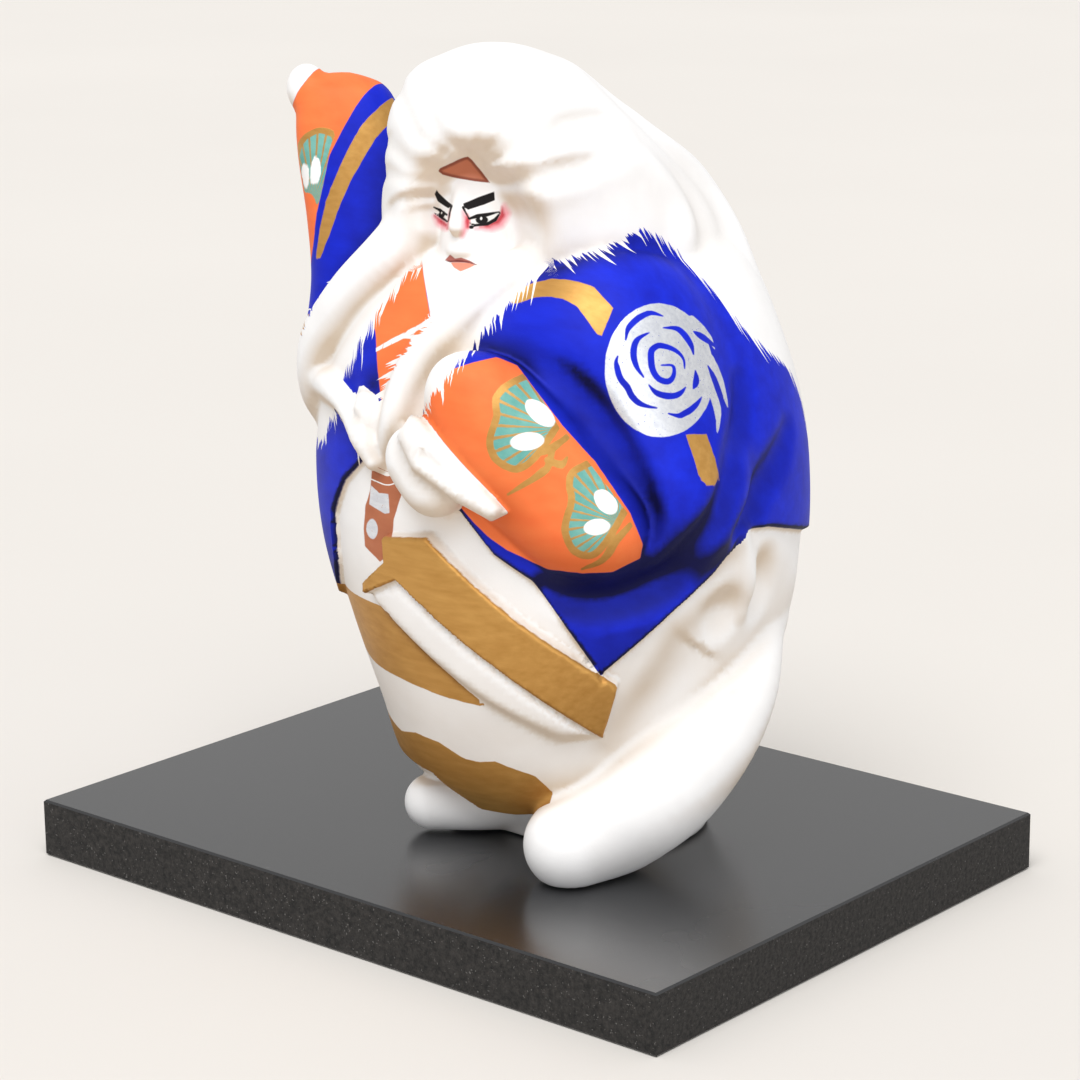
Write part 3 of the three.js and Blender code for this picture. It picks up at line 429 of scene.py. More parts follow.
def left_hand(p):
    palm = joined(egg(p, (7.7, -29.0, 52.9), (3.7, 3.8, 4.4), VIEW_TURN, 0, -20),
                  egg(p, (10.5, -28.9, 50.1), (3.8, 3.7, 3.6)), 2)
    across, up, near = plane(p)
    thick = np.abs(near - 44.8 - 0.16 * (across + 9)) - 2.6
    held = common(outline_gap(across, up, HELD), thick, 1.6)
    groove = limb(p, [(11.6, -33.6, 55.6, 0.4), (13.9, -33.4, 54.2, 0.6), (16.7, -32.8, 52.0, 0.6)])[0]
    return common(joined(palm, held, 0.8), -groove, 0.8)


def collar_ends(p):
    knot = limb(p, [(-16.6, -18.6, 57.6, 2.4), (-11.6, -22.8, 58.0, 1.9), (-7.6, -25.2, 57.4, 1.6),
                    (-4.8, -26.5, 56.0, 1.6), (-2.4, -27.5, 54.0, 1.7), (-0.8, -27.4, 51.4, 1.3)])[0]
    across, up, near = plane(p)
    tip = common(outline_gap(across, up, KERCHIEF), np.abs(near - 32.2) - 2.0, 0.8)
    return joined(knot, tip, 0.6)


def left_foot(p):
    leg = limb(p, [(21.4, -17.2, 4.8, 5.3), (26.4, -10.2, 9.3, 7.2), (29.5, -3.6, 15.0, 6.9),
                   (30.9, 2.8, 21.2, 5.4), (29.0, 10.5, 28.1, 3.2)])[0]
    groove = limb(p, [(34.6, -1.9, 22.4, 0.3), (34.4, -8.6, 19.4, 1.2), (32.6, -14.1, 16.2, 0.3)])[0]
    toe = limb(p, [(21.5, -18.4, 4.4, 4.1), (22.8, -11.0, 4.6, 4.5)], 2)[0]
    return common(joined(toe, leg, 4), -groove, 1.5)


def right_foot(p):
    return limb(p, [(-4.0, -14.8, 3.7, 3.6), (0.2, -11.4, 4.2, 4.2), (5.6, -6.0, 4.4, 4.4)])[0]


def doll(p):
    d = common(clothed(p), -limb(p, SIDE_VALLEY)[0], 3.0)
    for centre, radii in SIDE_PITS:
        d = common(d, -egg(p, centre, radii), 2.6)
    forms = [(limb(p, SIDE_FOLD)[0], 2.0), (mane(p), 0.5), (face(p), 1.0),
             (joined(raised_sleeve(p), fist(p), 0.8), 2.0), (left_hand(p), 0.8),
             (limb(p, RIGHT_STRAND)[0], 0.8), (limb(p, LEFT_STRAND)[0], 0.8),
             (collar_ends(p), 1.0), (left_foot(p), 1.0), (right_foot(p), 1.0)]
    for form, soft in forms:
        d = joined(d, form, soft)
    return common(d, -p[:, 2], 0.5)


# Fine mesh of the doll


def in_shares(co):
    return (co - (0, 0, SEAT)) / SHARE


def set_out(name, data):
    """Puts a new object with this data into the scene."""
    thing = bpy.data.objects.new(name, data)
    bpy.context.scene.collection.objects.link(thing)
    return thing


def settle(p, rounds):
    """Moves points onto the surface of the doll, a short step at a time."""
    for _ in range(rounds):
        d = doll(p)
        slope = np.stack([doll(p + np.eye(3)[i] * PROBE) - d for i in range(3)], 1) / PROBE
        move = d[:, None] * slope / np.maximum((slope ** 2).sum(1), 0.2)[:, None]
        size = np.linalg.norm(move, axis=1, keepdims=True)
        p = p - move * np.minimum(1, LONGEST_STEP / (size + 1e-9))
    return p


def points_of(bm):
    return in_shares(np.array([v.co for v in bm.verts], float))


def put_points(bm, p):
    co = p * SHARE + (0, 0, SEAT)
    for v, c in zip(bm.verts, co):
        v.co = c


# Ovals on the plane that faces the view where the painter's finest lines are

LINING_OVAL = ((3.8, 43.5), (11.0, 15.0))
FINE_OVALS = [((-7.2, 73.6), (5.6, 7.6)),
              ((17.0, 54.0), (8.0, 9.4)),
              ((-27.0, 82.0), (3.4, 6.4)),
              ((-18.0, 38.0), (2.8, 7.0))]


def detail_zone(p, level):
    """Where the painted lines are finest, so that the mesh is finer there."""
    across, up, near = plane(p)
    grow = 1.0 if level == 1 else 0.0

    def within(centre, half):
        return np.hypot((across - centre[0]) / (half[0] + grow), (up - centre[1]) / (half[1] + grow)) < 1

    zone = within(*LINING_OVAL) & (lining(p) < 0.6)
    for centre, half in FINE_OVALS:
        zone |= within(centre, half)
    zone &= near > 20
    if level == 1:
        turn, run, z = unrolled(p)
        hem = np.abs(z - hem_height(turn, COAT_HEM)) * 0.6
        zone |= (hem < 1.4) & (np.abs(robe(p)) < 1.6)
        zone |= np.abs(outline_gap(run, z, rolled(SASH))) < 1.1
        zone |= np.abs(lining(p) - sleeve(p)) < 1.2
    return zone


def finer(bm, level):
    zone = detail_zone(points_of(bm), level)
    bm.verts.index_update()
    edges = [e for e in bm.edges if zone[e.verts[0].index] and zone[e.verts[1].index]]
    bmesh.ops.subdivide_edges(bm, edges=edges, cuts=1, use_grid_fill=True)


def even_mesh(source):
    """A closed mesh of even cells round the solid doll."""
    bm = bmesh.new()
    bm.from_mesh(source.data)
    bmesh.ops.remove_doubles(bm, verts=bm.verts, dist=WELD)
    rough = bpy.data.meshes.new("doll_rough")
    bm.to_mesh(rough)
    bm.free()
    carrier = set_out("doll_rough", rough)
    remesh = carrier.modifiers.new("even_mesh", "REMESH")
    remesh.mode = "VOXEL"
    remesh.voxel_size = VOXEL
    shaped = carrier.evaluated_get(bpy.context.evaluated_depsgraph_get())
    bm = bmesh.new()
    bm.from_mesh(shaped.to_mesh())
    shaped.to_mesh_clear()
    bpy.data.objects.remove(carrier)
    return bm


def fine_doll(source):
    """The doll's forms on a fine mesh, kept inside the box of the solid."""
    bm = even_mesh(source)
    put_points(bm, settle(points_of(bm), 2))
    bmesh.ops.smooth_vert(bm, verts=bm.verts, factor=0.5, use_axis_x=True, use_axis_y=True, use_axis_z=True)
    put_points(bm, settle(points_of(bm), 1))
    finer(bm, 1)
    finer(bm, 2)
    bmesh.ops.triangulate(bm, faces=[f for f in bm.faces if len(f.verts) > 4])
    low, high = [in_shares(np.array(corner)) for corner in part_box("figure")]
    put_points(bm, np.clip(settle(points_of(bm), 2), low, high))
    bmesh.ops.recalc_face_normals(bm, faces=bm.faces)
    mesh = bpy.data.meshes.new("painted_doll")
    bm.to_mesh(mesh)
    bm.free()
    for polygon in mesh.polygons:
        polygon.use_smooth = True
    return set_out("painted_doll", mesh)


# Painted outlines on the unrolled robe: turn in degrees, height in shares

MANE_EDGE = [(30, 76.3), (36, 76.3), (47, 76.8), (55, 77.4), (63, 78.4), (72, 79.5), (81, 78.2),
             (89, 76.0), (93, 72.3), (99, 67.0), (107, 63.6), (117, 60.5), (123, 56), (127, 48), (129, 40),
             (133, 33), (142, 26), (154, 20), (180, 15), (196, 18), (208, 27), (217, 38), (226, 50),
             (238, 61), (250, 70), (262, 78)]
GOLD_SIDE = [(-80, 34), (-37, 32.4), (-8, 32.7), (-6, 30.9), (9, 26.2), (21, 22.3), (8, 22.6), (-11, 23.4),
             (-26, 23.6), (-50, 25), (-76, 28)]
GOLD_LEG = [(-48, 17), (-20, 15.1), (-10, 16.1), (1, 15.9), (10, 14.5), (15, 14.4), (21, 14.9), (33, 13.4),
            (38, 11.1), (35, 7.2), (27, 5.2), (17, 4.9), (5, 6.6), (-8, 9.6), (-30, 8.5), (-50, 11)]

# Painted outlines on the plane that faces the view: across and up, in shares

CHEST = [(-12.56, 68.8), (-12.3, 66.8), (-11.9, 64.1), (-11.5, 61.9), (-10.9, 59.7), (-13.2, 55.9),
         (-17.2, 50.1), (-17.64, 52.1), (-18.05, 55.4), (-18.2, 58.1), (-18.3, 59.9), (-18.8, 61.9),
         (-18.3, 64.0), (-15.9, 66.9), (-13.7, 68.8)]
CHEST_LINE = [(-18.3, 57.8), (-16.5, 58.6), (-13.9, 59.7), (-11.2, 60.8)]
CHEST_LINE_HALF = [0.22, 0.3, 0.34, 0.4]
LENS = [(-14.6, 49.1), (-13.6, 52.0), (-10.6, 54.0), (-6.6, 55.3), (-3.45, 56.1), (-1.1, 55.1),
        (0.6, 52.7), (4.05, 48.0), (7.9, 43.7), (11.9, 37.7), (13.4, 34.0), (13.1, 32.4), (9.8, 30.8),
        (6.25, 30.7), (2.2, 31.2), (-2.5, 33.5), (-5.7, 35.7), (-8.3, 37.9), (-9.6, 39.6), (-8.0, 41.0),
        (-10.2, 46.5)]
FAN_UPPER = [(-0.2, 54.2), (-2.5, 53.0), (-4.0, 51.2), (-3.93, 49.1), (-4.6, 47.1), (-4.7, 45.4),
             (-3.8, 43.6), (-1.7, 42.5), (0.1, 43.0), (1.8, 44.7), (3.8, 47.6)]
FAN_LOWER = [(6.9, 43.9), (4.9, 42.75), (4.4, 41.0), (4.66, 39.3), (3.94, 36.7), (4.0, 34.9), (5.2, 32.9),
             (7.5, 32.4), (9.3, 34.0), (10.9, 36.5), (11.6, 37.7)]

# Each fan: its outline, the hub of its ribs, and its white ovals

FANS = [(FAN_UPPER, (3.5, 47.6), [((1.5, 49.4), (2.1, 1.1), -42), ((0.0, 46.1), (2.0, 1.05), 6)]),
        (FAN_LOWER, (10.4, 36.7), [((9.07, 39.0), (1.7, 1.1), -50), ((8.0, 36.1), (1.55, 0.95), 6)])]
TWIGS = [[(4.6, 46.6), (2.9, 45.3), (1.2, 44.5)],
         [(2.98, 45.3), (2.4, 43.2), (1.7, 42.5), (-0.1, 41.3), (-2.3, 40.0)],
         [(2.3, 43.9), (3.9, 43.4), (4.6, 44.2)],
         [(11.9, 36.3), (10.3, 34.6), (8.7, 32.3), (6.2, 31.2)]]
TWIG_HALF = [0.35, 0.5, 0.15]
ROUNDEL = (15.6, 54.35)
ROUNDEL_HALF = (6.5, 7.85)
FEATHERS = [[(19.4, 60.2), (20.6, 59.3), (21.6, 58.3), (22.3, 57.1)],
            [(20.4, 57.4), (22.1, 54.9), (23.2, 52.3), (23.8, 50.2)],
            [(20.5, 54.8), (21.9, 51.9), (22.5, 49.4), (22.3, 46.8)]]
FEATHER_HALF = [0.7, 0.62, 0.4, 0.05]
WHIRL = [[(15.7, 54.9), (17.0, 54.9), (17.24, 54.2), (17.0, 53.4), (16.4, 53.0), (15.4, 53.3),
          (14.7, 54.3), (14.5, 55.5), (14.55, 56.5), (15.0, 57.0), (15.6, 57.2), (16.8, 56.95),
          (17.8, 56.4), (18.4, 55.6), (18.5, 54.6)],
         [(11.55, 57.8), (11.8, 59.0), (12.4, 59.8), (13.4, 60.6), (14.6, 61.05), (16.0, 60.7)],
         [(14.3, 58.7), (13.2, 58.1), (12.7, 57.5), (12.46, 56.6), (12.5, 55.6), (12.9, 54.5),
          (13.6, 53.5)],
         [(15.95, 59.3), (17.5, 59.3), (18.3, 58.8), (18.9, 58.1), (19.4, 57.2), (19.6, 56.3)],
         [(10.6, 55.9), (10.4, 55.3), (10.5, 54.65), (10.9, 53.3), (11.7, 52.3), (12.2, 51.3),
          (13.0, 50.5), (14.0, 50.1), (15.1, 49.9)],
         [(14.2, 52.6), (14.8, 51.9), (15.5, 51.5), (16.5, 51.3), (17.4, 51.4), (18.1, 51.8),
          (18.6, 52.4)],
         [(19.8, 54.4), (19.9, 53.4), (19.8, 52.8), (19.5, 52.2)],
         [(16.5, 49.25), (17.7, 49.0), (18.4, 49.3), (19.1, 49.7), (19.9, 50.4), (20.5, 51.25)],
         [(19.7, 59.0), (20.8, 58.4), (22.6, 57.3)],
         [(21.4, 55.0), (22.1, 53.6), (22.9, 51.4), (23.1, 50.0)]]
WHIRL_HALF = [0.1, 0.34, 0.4, 0.34, 0.1]
STRAP_DOT = ((-19.1, 36.2), (0.75, 1.2), 0)
SHOULDER_STRIPE = [(-1.2, 63.3), (1.0, 64.1), (3.0, 64.3), (5.0, 63.9), (7.0, 63.0), (9.4, 59.8)]
SHOULDER_STRIPE_HALF = [0.8, 0.9, 1.1, 1.25, 1.5, 1.7]
STRIPE_END = ((9.5, 60.05), (0.924, 0.382))
LOW_STRIPE = [(18.5, 46.8), (21.0, 46.9), (21.9, 44.2), (22.6, 41.4), (22.2, 41.5), (21.9, 40.7),
              (21.4, 41.2), (21.1, 40.5), (20.6, 41.3), (20.2, 41.1), (19.5, 43.6)]
STRAP = [(-18.6, 46.5), (-19.0, 43.0), (-19.2, 41.0), (-19.88, 39.1), (-20.2, 36.3), (-20.1, 34.1),
         (-18.2, 32.2), (-16.7, 33.2), (-16.3, 37.3), (-15.0, 41.0), (-15.2, 46.5)]
STRAP_BAR = [(-19.1, 41.55), (-18.1, 40.55), (-16.9, 40.4), (-16.8, 38.1), (-17.4, 38.0), (-19.4, 39.25)]
RAISED_OUTER = [(-16.5, 94.6), (-19.1, 92.8), (-20.3, 91.5), (-21.55, 89.7), (-23.3, 86.6), (-24.9, 83.6),
                (-25.9, 79.4), (-26.7, 76.4), (-27.2, 72.9), (-27.8, 70.2), (-29.0, 69.0), (-36, 67.5),
                (-45, 67), (-45, 110), (-16.5, 110)]
RAISED_STRIPE = [(-15.6, 91.0), (-17.4, 89.3), (-19.8, 86.7), (-21.45, 83.9), (-23.0, 81.0), (-24.5, 77.7),
                 (-25.6, 74.2), (-26.65, 70.9)]
RAISED_STRIPE_HALF = [1.2, 1.2, 1.2, 1.15, 1.0, 0.95, 0.75, 0.3]
FIST_END = [(-25.6, 96.0), (-27.0, 94.6), (-28.0, 93.3), (-29.0, 92.0), (-29.84, 90.5), (-30.1, 88.6),
            (-33, 87), (-45, 87), (-45, 110), (-25.6, 110)]
CREST = [(-29.9, 83.2), (-29.3, 85.0), (-28.57, 86.2), (-27.2, 87.0), (-25.9, 87.3), (-24.1, 86.6),
         (-24.8, 84.4), (-25.7, 80.0), (-26.4, 77.5), (-27.3, 79.0), (-28.7, 79.6), (-29.6, 81)]
CREST_HUB = (-27, 78)
CREST_OVALS = [((-28.1, 81.4), (0.52, 1.6), 6), ((-26.7, 81.9), (0.7, 1.8), -2)]
LOW_PATCH = [(-34, 63.6), (-29.6, 63.4), (-27.0, 63.1), (-28.0, 60.8), (-29.5, 58.0), (-34, 56)]

LEFT_WHITE = [(-9.5, 70.5), (-9.6, 66.9), (-9.2, 64.1), (-8.8, 61.6), (-11.4, 60.3), (-14.2, 57.2),
              (-16.6, 53.7), (-18.0, 50.5), (-18.8, 46.9), (-18.5, 44.2), (-16.9, 43.5), (-15.3, 46.2),
              (-13.8, 48.9), (-12.4, 50.6), (-10.7, 52.3), (-9.5, 53.7), (-7.6, 56.4), (-4.3, 60.7),
              (-0.7, 64.2), (2.3, 67.6), (2.3, 69.4)]
NECK = [(-12.6, 71.0), (-12.55, 68.8), (-12.35, 66.9), (-11.85, 64.1), (-11.5, 61.9), (-11.2, 60.3),
        (-8.5, 61.0), (-5.0, 66.0), (-3.0, 70.0)]
RIGHT_WHITE = [(-14.2, 77.5), (-15.5, 75.5), (-18.3, 72.8), (-21.8, 69.5), (-23.8, 67.6), (-25.8, 64.7),
               (-27.2, 62.3), (-28.6, 59.4), (-30.5, 55.8), (-30.5, 51.5), (-27.8, 49.0), (-26.3, 47.8),
               (-25.6, 47.5), (-24.4, 50.4), (-23.6, 52.8), (-22.6, 55.5), (-21.5, 57.4), (-20.9, 59.1),
               (-19.5, 60.4), (-18.7, 62.6), (-17.1, 63.9), (-14.9, 66.9), (-12.7, 68.8), (-9.0, 72.0)]

# Painted outlines of the face, on the same plane: lines come with their half widths

CAP = [(-10.3, 78.6), (-10.1, 78.9), (-8.55, 79.4), (-7.05, 79.95), (-6.7, 80.0), (-6.2, 79.6),
       (-5.15, 78.4), (-4.1, 77.1), (-5.95, 77.35), (-7.7, 77.7), (-9.8, 78.2)]
LEFT_BROW = [(-7.4, 74.75), (-5.65, 75.45), (-3.65, 76.1), (-3.6, 75.1), (-4.8, 74.6), (-6.8, 74.0),
             (-7.25, 74.3)]
RIGHT_BROW = [(-10.85, 77.0), (-10.35, 76.3), (-8.65, 74.65), (-9.2, 74.4), (-10.5, 75.35), (-10.9, 76.3)]
BROW_TAILS = [[(-7.4, 74.3), (-7.05, 73.6), (-6.7, 73.0)], [(-8.8, 74.5), (-9.05, 73.7), (-9.2, 72.9)]]
BROW_TAIL_HALF = [0.16, 0.06]
EYE_LIDS = [([(-6.7, 72.95), (-5.7, 73.25), (-4.5, 73.4), (-3.05, 73.75)], [0.14, 0.24, 0.22, 0.08]),
            ([(-6.6, 72.45), (-6.0, 72.15), (-4.5, 72.3), (-3.6, 72.8), (-3.0, 73.6)],
             [0.06, 0.16, 0.2, 0.22, 0.08]),
            ([(-11.0, 74.7), (-10.25, 74.35), (-9.4, 73.65)], [0.08, 0.18, 0.12]),
            ([(-10.9, 74.0), (-10.1, 73.5), (-9.35, 72.85)], [0.06, 0.16, 0.1])]
EYE_BALLS = [((-5.17, 72.78), (0.75, 0.5), 0),
             ((-10.0, 73.85), (0.42, 0.4), 0),
             ((-6.42, 71.95), (0.3, 0.22), 0)]
# Painted highlights: a small white dot in each eye
EYE_HIGHLIGHTS = [((-5.25, 72.95), (0.15, 0.2), 0), ((-10.05, 74.0), (0.1, 0.14), 0)]
EYE_WHITES = [[(-6.5, 72.4), (-6.4, 72.9), (-6.0, 73.1), (-4.5, 73.25), (-3.2, 73.55), (-3.6, 72.9),
               (-4.5, 72.4), (-6.0, 72.3)],
              [(-10.9, 74.5), (-10.25, 74.25), (-9.45, 73.5), (-9.4, 73.0), (-10.1, 73.6), (-10.8, 74.0)]]
CRIMSON = [([(-2.75, 74.3), (-2.75, 73.4), (-3.3, 72.6), (-4.3, 72.1), (-5.4, 71.95)],
            [0.12, 0.3, 0.3, 0.22, 0.1]),
           ([(-6.95, 73.5), (-6.85, 72.8), (-6.85, 72.0)], [0.1, 0.26, 0.2]),
           ([(-10.9, 73.7), (-10.25, 73.15), (-9.5, 72.45)], [0.1, 0.24, 0.14]),
           ([(-8.95, 74.2), (-9.1, 73.3), (-9.35, 72.0)], [0.08, 0.12, 0.05])]
BLUSH = [([(-2.5, 74.5), (-2.25, 73.6), (-2.9, 72.4), (-4.0, 71.85), (-5.9, 71.75)],
          [0.2, 0.45, 0.5, 0.42, 0.2]),
         ([(-7.4, 73.8), (-7.05, 72.8), (-7.1, 71.9), (-7.5, 70.95)], [0.15, 0.4, 0.36, 0.2]),
         ([(-10.9, 73.6), (-10.3, 72.9), (-9.5, 72.1)], [0.2, 0.42, 0.25])]
UPPER_LIP = [(-9.7, 68.3), (-9.05, 68.85), (-8.45, 68.35), (-7.7, 68.4), (-6.65, 68.0), (-5.6, 67.35),
             (-6.65, 67.75), (-8.45, 67.9), (-9.05, 68.05)]
LOWER_LIP = [(-9.05, 68.0), (-8.45, 67.9), (-6.65, 67.75), (-6.0, 67.45), (-6.8, 67.1), (-7.8, 66.75),
             (-8.6, 67.3)]
LIP_LINE = [(-9.7, 68.3), (-9.05, 68.05), (-8.0, 68.05), (-6.65, 67.8), (-5.55, 67.3)]
LIP_LINE_HALF = [0.06, 0.12, 0.12, 0.05]

# Turns, in degrees: where the round starts, where the mane's edge is drawn, and where it is steep

ROUND_START = -60
EDGE_TURNS = (34, 262)
STEEP_TURNS = (122, 232)

# Where the right strand crosses the raised sleeve, and how far apart the strands' strokes are counted

STRAND_OUTER = -26.5
STRAND_RUN = 60

# Where the doll's paint lies


def nearest(values):
    return np.minimum.reduce(values)


def between(values, ends):
    return (values > ends[0]) & (values < ends[1])


class Painter:
    """What the painter goes by at each point: its place, and how far it is from each form."""

    def __init__(self, p):
        self.count = len(p)
        self.turn, self.run, self.height = unrolled(p)
        self.across, self.up, self.near = plane(p)
        self.behind = FRONT_NEAR - self.near
        self.below_hem = (hem_height(self.turn, COAT_HEM) - self.height) * 0.75
        self.face, self.hair, self.robe = face(p), mane(p), robe(p)
        self.sleeve, self.lining = sleeve(p), lining(p)
        self.raised, self.fist = raised_sleeve(p), fist(p)
        self.right_strand, self.left_strand = limb(p, RIGHT_STRAND), limb(p, LEFT_STRAND)
        self.bare = nearest([self.face, left_hand(p), collar_ends(p), left_foot(p), right_foot(p)])
        self.coat = nearest([self.robe - COAT_THICK, self.sleeve, self.lining])
        self.on_raised = self.raised < self.coat
        by_raised = self.on_raised & (self.raised < 1.5)
        self.raised_outer = np.where(by_raised, self.outline(RAISED_OUTER), NO_PAINT)
        self.chest = np.maximum(self.outline(CHEST), self.behind)
        self.lens = np.maximum(np.maximum(self.outline(LENS), self.behind), self.lining - 1.2)
        crest = np.maximum(self.outline(rounded(CREST)), self.raised_outer)
        self.crest = np.maximum(np.where(self.on_raised, crest, NO_PAINT), SLEEVE_NEAR - self.near)

    def outline(self, points):
        return outline_gap(self.across, self.up, points)

    def band(self, points):
        return outline_gap(self.run, self.height, rolled(points))

    def oval(self, centre, half, turn):
        return oval_gap(self.across, self.up, centre, half, turn)

    def stroke(self, points, widths=None, steps=0):
        """A line of the brush, eased into a curve where steps are given."""
        line = curve_through(points, steps) if steps else points
        return path_gap(self.across, self.up, line, widths)


def hair_paint(m):
    """White hair, the places along its strokes, and bare white on face, hands, collar and feet."""
    round_turn = np.where(m.turn < ROUND_START, m.turn + 360, m.turn)
    round_run = np.radians(round_turn) * SHEET
    edge_line = rolled(MANE_EDGE)
    edge = path_gap(round_run, m.height, edge_line)
    edge_height = np.interp(round_run, [q[0] for q in edge_line], [q[1] for q in edge_line])
    edge = np.where(m.height > edge_height, -edge, edge)
    hair = np.where(between(round_turn, EDGE_TURNS), edge, m.hair - m.coat)
    beside_raised = np.maximum(m.hair - m.raised, 0.05) + 0.4
    hair = np.where(m.raised < np.minimum(m.coat, m.hair), beside_raised, hair)
    (strand_right, along_right), (strand_left, along_left) = m.right_strand, m.left_strand
    on_strand = strand_right < nearest([m.coat, m.raised, m.bare])
    on_strand = on_strand & (m.near > STRAND_NEAR) & (m.across < STRAND_OUTER)
    hair = np.where(on_strand, GAP_LIMIT, hair)
    left = np.minimum(strand_left + 0.9, np.maximum(m.outline(LEFT_WHITE), m.behind))
    right = np.where(m.near > STRAND_NEAR, m.outline(RIGHT_WHITE), np.maximum(strand_right + 0.3, 0.2))
    on_right = right < np.minimum(hair, left)
    on_left = left < np.minimum(hair, right)
    run = np.where(between(round_turn, STEEP_TURNS), m.height * 0.8 + round_run * 0.3, round_run)
    run = np.where(on_left, along_left + 2 * STRAND_RUN, run)
    run = np.where(on_right, along_right + STRAND_RUN, run)
    bare = np.where(on_strand, GAP_LIMIT, np.where(m.on_raised, m.bare - m.raised, m.bare - m.coat))
    bare = np.minimum(bare, np.maximum(m.outline(NECK), m.behind))
    return {"hair_gap": nearest([hair, right, left]), "hair_run": run, "bare_gap": bare}


def coat_paint(m):
    """The blue coat, the orange of its inner side, and the end of the raised sleeve with the fist."""
    on_sleeve = np.minimum(m.sleeve, m.lining) - m.robe + 0.5
    blue = np.where(on_sleeve < 0, np.minimum(on_sleeve, m.below_hem), m.below_hem)
    near_fist = np.minimum(m.raised, m.fist) < m.coat - 1
    return {"blue_gap": np.where(m.on_raised, -1.0, blue),
            "orange_gap": nearest([m.raised_outer, m.chest, m.lens]),
            "fist_gap": np.where(near_fist, m.outline(FIST_END), NO_PAINT)}


def gold_paint(m):
    """Gold bands, stripes and fans, and the teal and the ribs inside the fans."""
    sash = m.band(SASH)
    stripe = m.stroke(SHOULDER_STRIPE, SHOULDER_STRIPE_HALF)
    (end_across, end_up), (lean_across, lean_up) = STRIPE_END
    stripe = np.maximum(stripe, lean_across * (m.across - end_across) - lean_up * (m.up - end_up))
    raised_stripe = m.stroke(RAISED_STRIPE, RAISED_STRIPE_HALF)
    raised_stripe = np.where(m.raised < m.coat + 0.3, raised_stripe, NO_PAINT)
    gold = [np.maximum(sash, -m.below_hem), np.maximum(m.band(GOLD_SIDE), -sash - 0.1), m.band(GOLD_LEG),
            np.maximum(stripe, m.behind), np.maximum(m.outline(LOW_STRIPE), m.behind),
            np.maximum(raised_stripe, SLEEVE_NEAR - m.near),
            np.maximum(m.outline(LOW_PATCH), PATCH_NEAR - m.near), m.crest]
    teal = [np.maximum(m.crest, 0.75 - m.stroke(CREST[:6], None, 3))]
    rib_turn = np.zeros(m.count)
    for scallop, hub, _ in FANS:
        line = curve_through(scallop, 4)
        fan = np.maximum(m.outline(line), m.lens + 0.05)
        gold.append(fan)
        teal.append(np.maximum(fan, 0.85 - m.stroke(line)))
        fan_turn = np.degrees(np.arctan2(m.up - hub[1], hub[0] - m.across))
        rib_turn = np.where(fan < 0.5, fan_turn, rib_turn)
    gold += [np.maximum(m.stroke(twig, TWIG_HALF, 4), m.lens + 0.3) for twig in TWIGS]
    crest_turn = np.degrees(np.arctan2(m.up - CREST_HUB[1], m.across - CREST_HUB[0])) * 1.5
    return {"gold_gap": nearest(gold), "teal_gap": nearest(teal),
            "rib_turn": np.where(m.crest < 0.5, crest_turn, rib_turn)}


def badge_paint(m):
    """The strap, the cap's edge, the silver round with its whirl, and the small white marks."""
    strap = np.maximum(m.outline(STRAP), m.behind)
    roundel = np.maximum(m.oval(ROUNDEL, ROUNDEL_HALF, 0), m.behind)
    feathers = nearest([m.stroke(f, FEATHER_HALF, 3) for f in FEATHERS])
    silver = [roundel, np.maximum(feathers, m.behind),
              np.maximum(m.outline(STRAP_BAR), strap), np.maximum(m.oval(*STRAP_DOT), strap)]
    whirl = nearest([m.stroke(w, WHIRL_HALF, 3) for w in WHIRL])
    marks = [np.maximum(m.oval(*oval), m.lens) for _, _, ovals in FANS for oval in ovals]
    marks += [np.maximum(m.oval(*oval), m.crest) for oval in CREST_OVALS]
    marks.append(np.maximum(m.stroke(CHEST_LINE, CHEST_LINE_HALF), m.chest - 0.2))
    return {"strap_gap": strap, "cap_gap": np.maximum(m.outline(CAP), FACE_NEAR - m.near),
            "silver_gap": nearest(silver), "whirl_gap": np.maximum(whirl, m.behind),
            "mark_gap": nearest(marks)}


def face_paint(m):
    """Brows, eyes with their painted highlights, blush and lips, kept to the face."""
    ink = [m.outline(LEFT_BROW), m.outline(RIGHT_BROW)]
    ink += [m.stroke(*lid) for lid in EYE_LIDS]
    ink += [m.oval(*ball) for ball in EYE_BALLS]
    ink += [m.stroke(tail, BROW_TAIL_HALF) for tail in BROW_TAILS]
    areas = {"ink_gap": nearest(ink),
             "blush_gap": nearest([m.stroke(*line) for line in BLUSH]),
             "crimson_gap": nearest([m.stroke(*line) for line in CRIMSON]),
             "upper_lip_gap": m.outline(UPPER_LIP),
             "lower_lip_gap": m.outline(LOWER_LIP),
             "lip_line_gap": m.stroke(LIP_LINE, LIP_LINE_HALF),
             "eye_white_gap": nearest([m.outline(white) for white in EYE_WHITES]),
             "eye_highlight_gap": nearest([m.oval(*dot) for dot in EYE_HIGHLIGHTS])}
    off_face = np.maximum(FACE_NEAR - m.near, m.face - 1.2)
    return {name: np.maximum(gap, off_face) for name, gap in areas.items()}


# Painted shade in recesses: how far out each recess is felt for, in shares, and what each reach counts

PAINTED_SHADE_REACHES = ((1.8, 0.25), (5.0, 0.75))


def painted_shade_amount(p, normals):
    """Painted shade, from 0 to 1: how far a point sits in a recess, or faces downward under an overhang, to
    darken its colour there.
    """
    closed = 0.0
    for reach, share in PAINTED_SHADE_REACHES:
        closed = closed + share * np.clip(1 - doll(p + normals * reach) / reach, 0, 1)
    closed = closed * (1 - 0.75 * ease(face(p) - 1.5, 1.5))
    under = np.clip(-normals[:, 2] - 0.05, 0, 0.5) * 2.0 * ease(10 - p[:, 2], 5)
    return np.clip(closed * 0.95 + under, 0, 1)


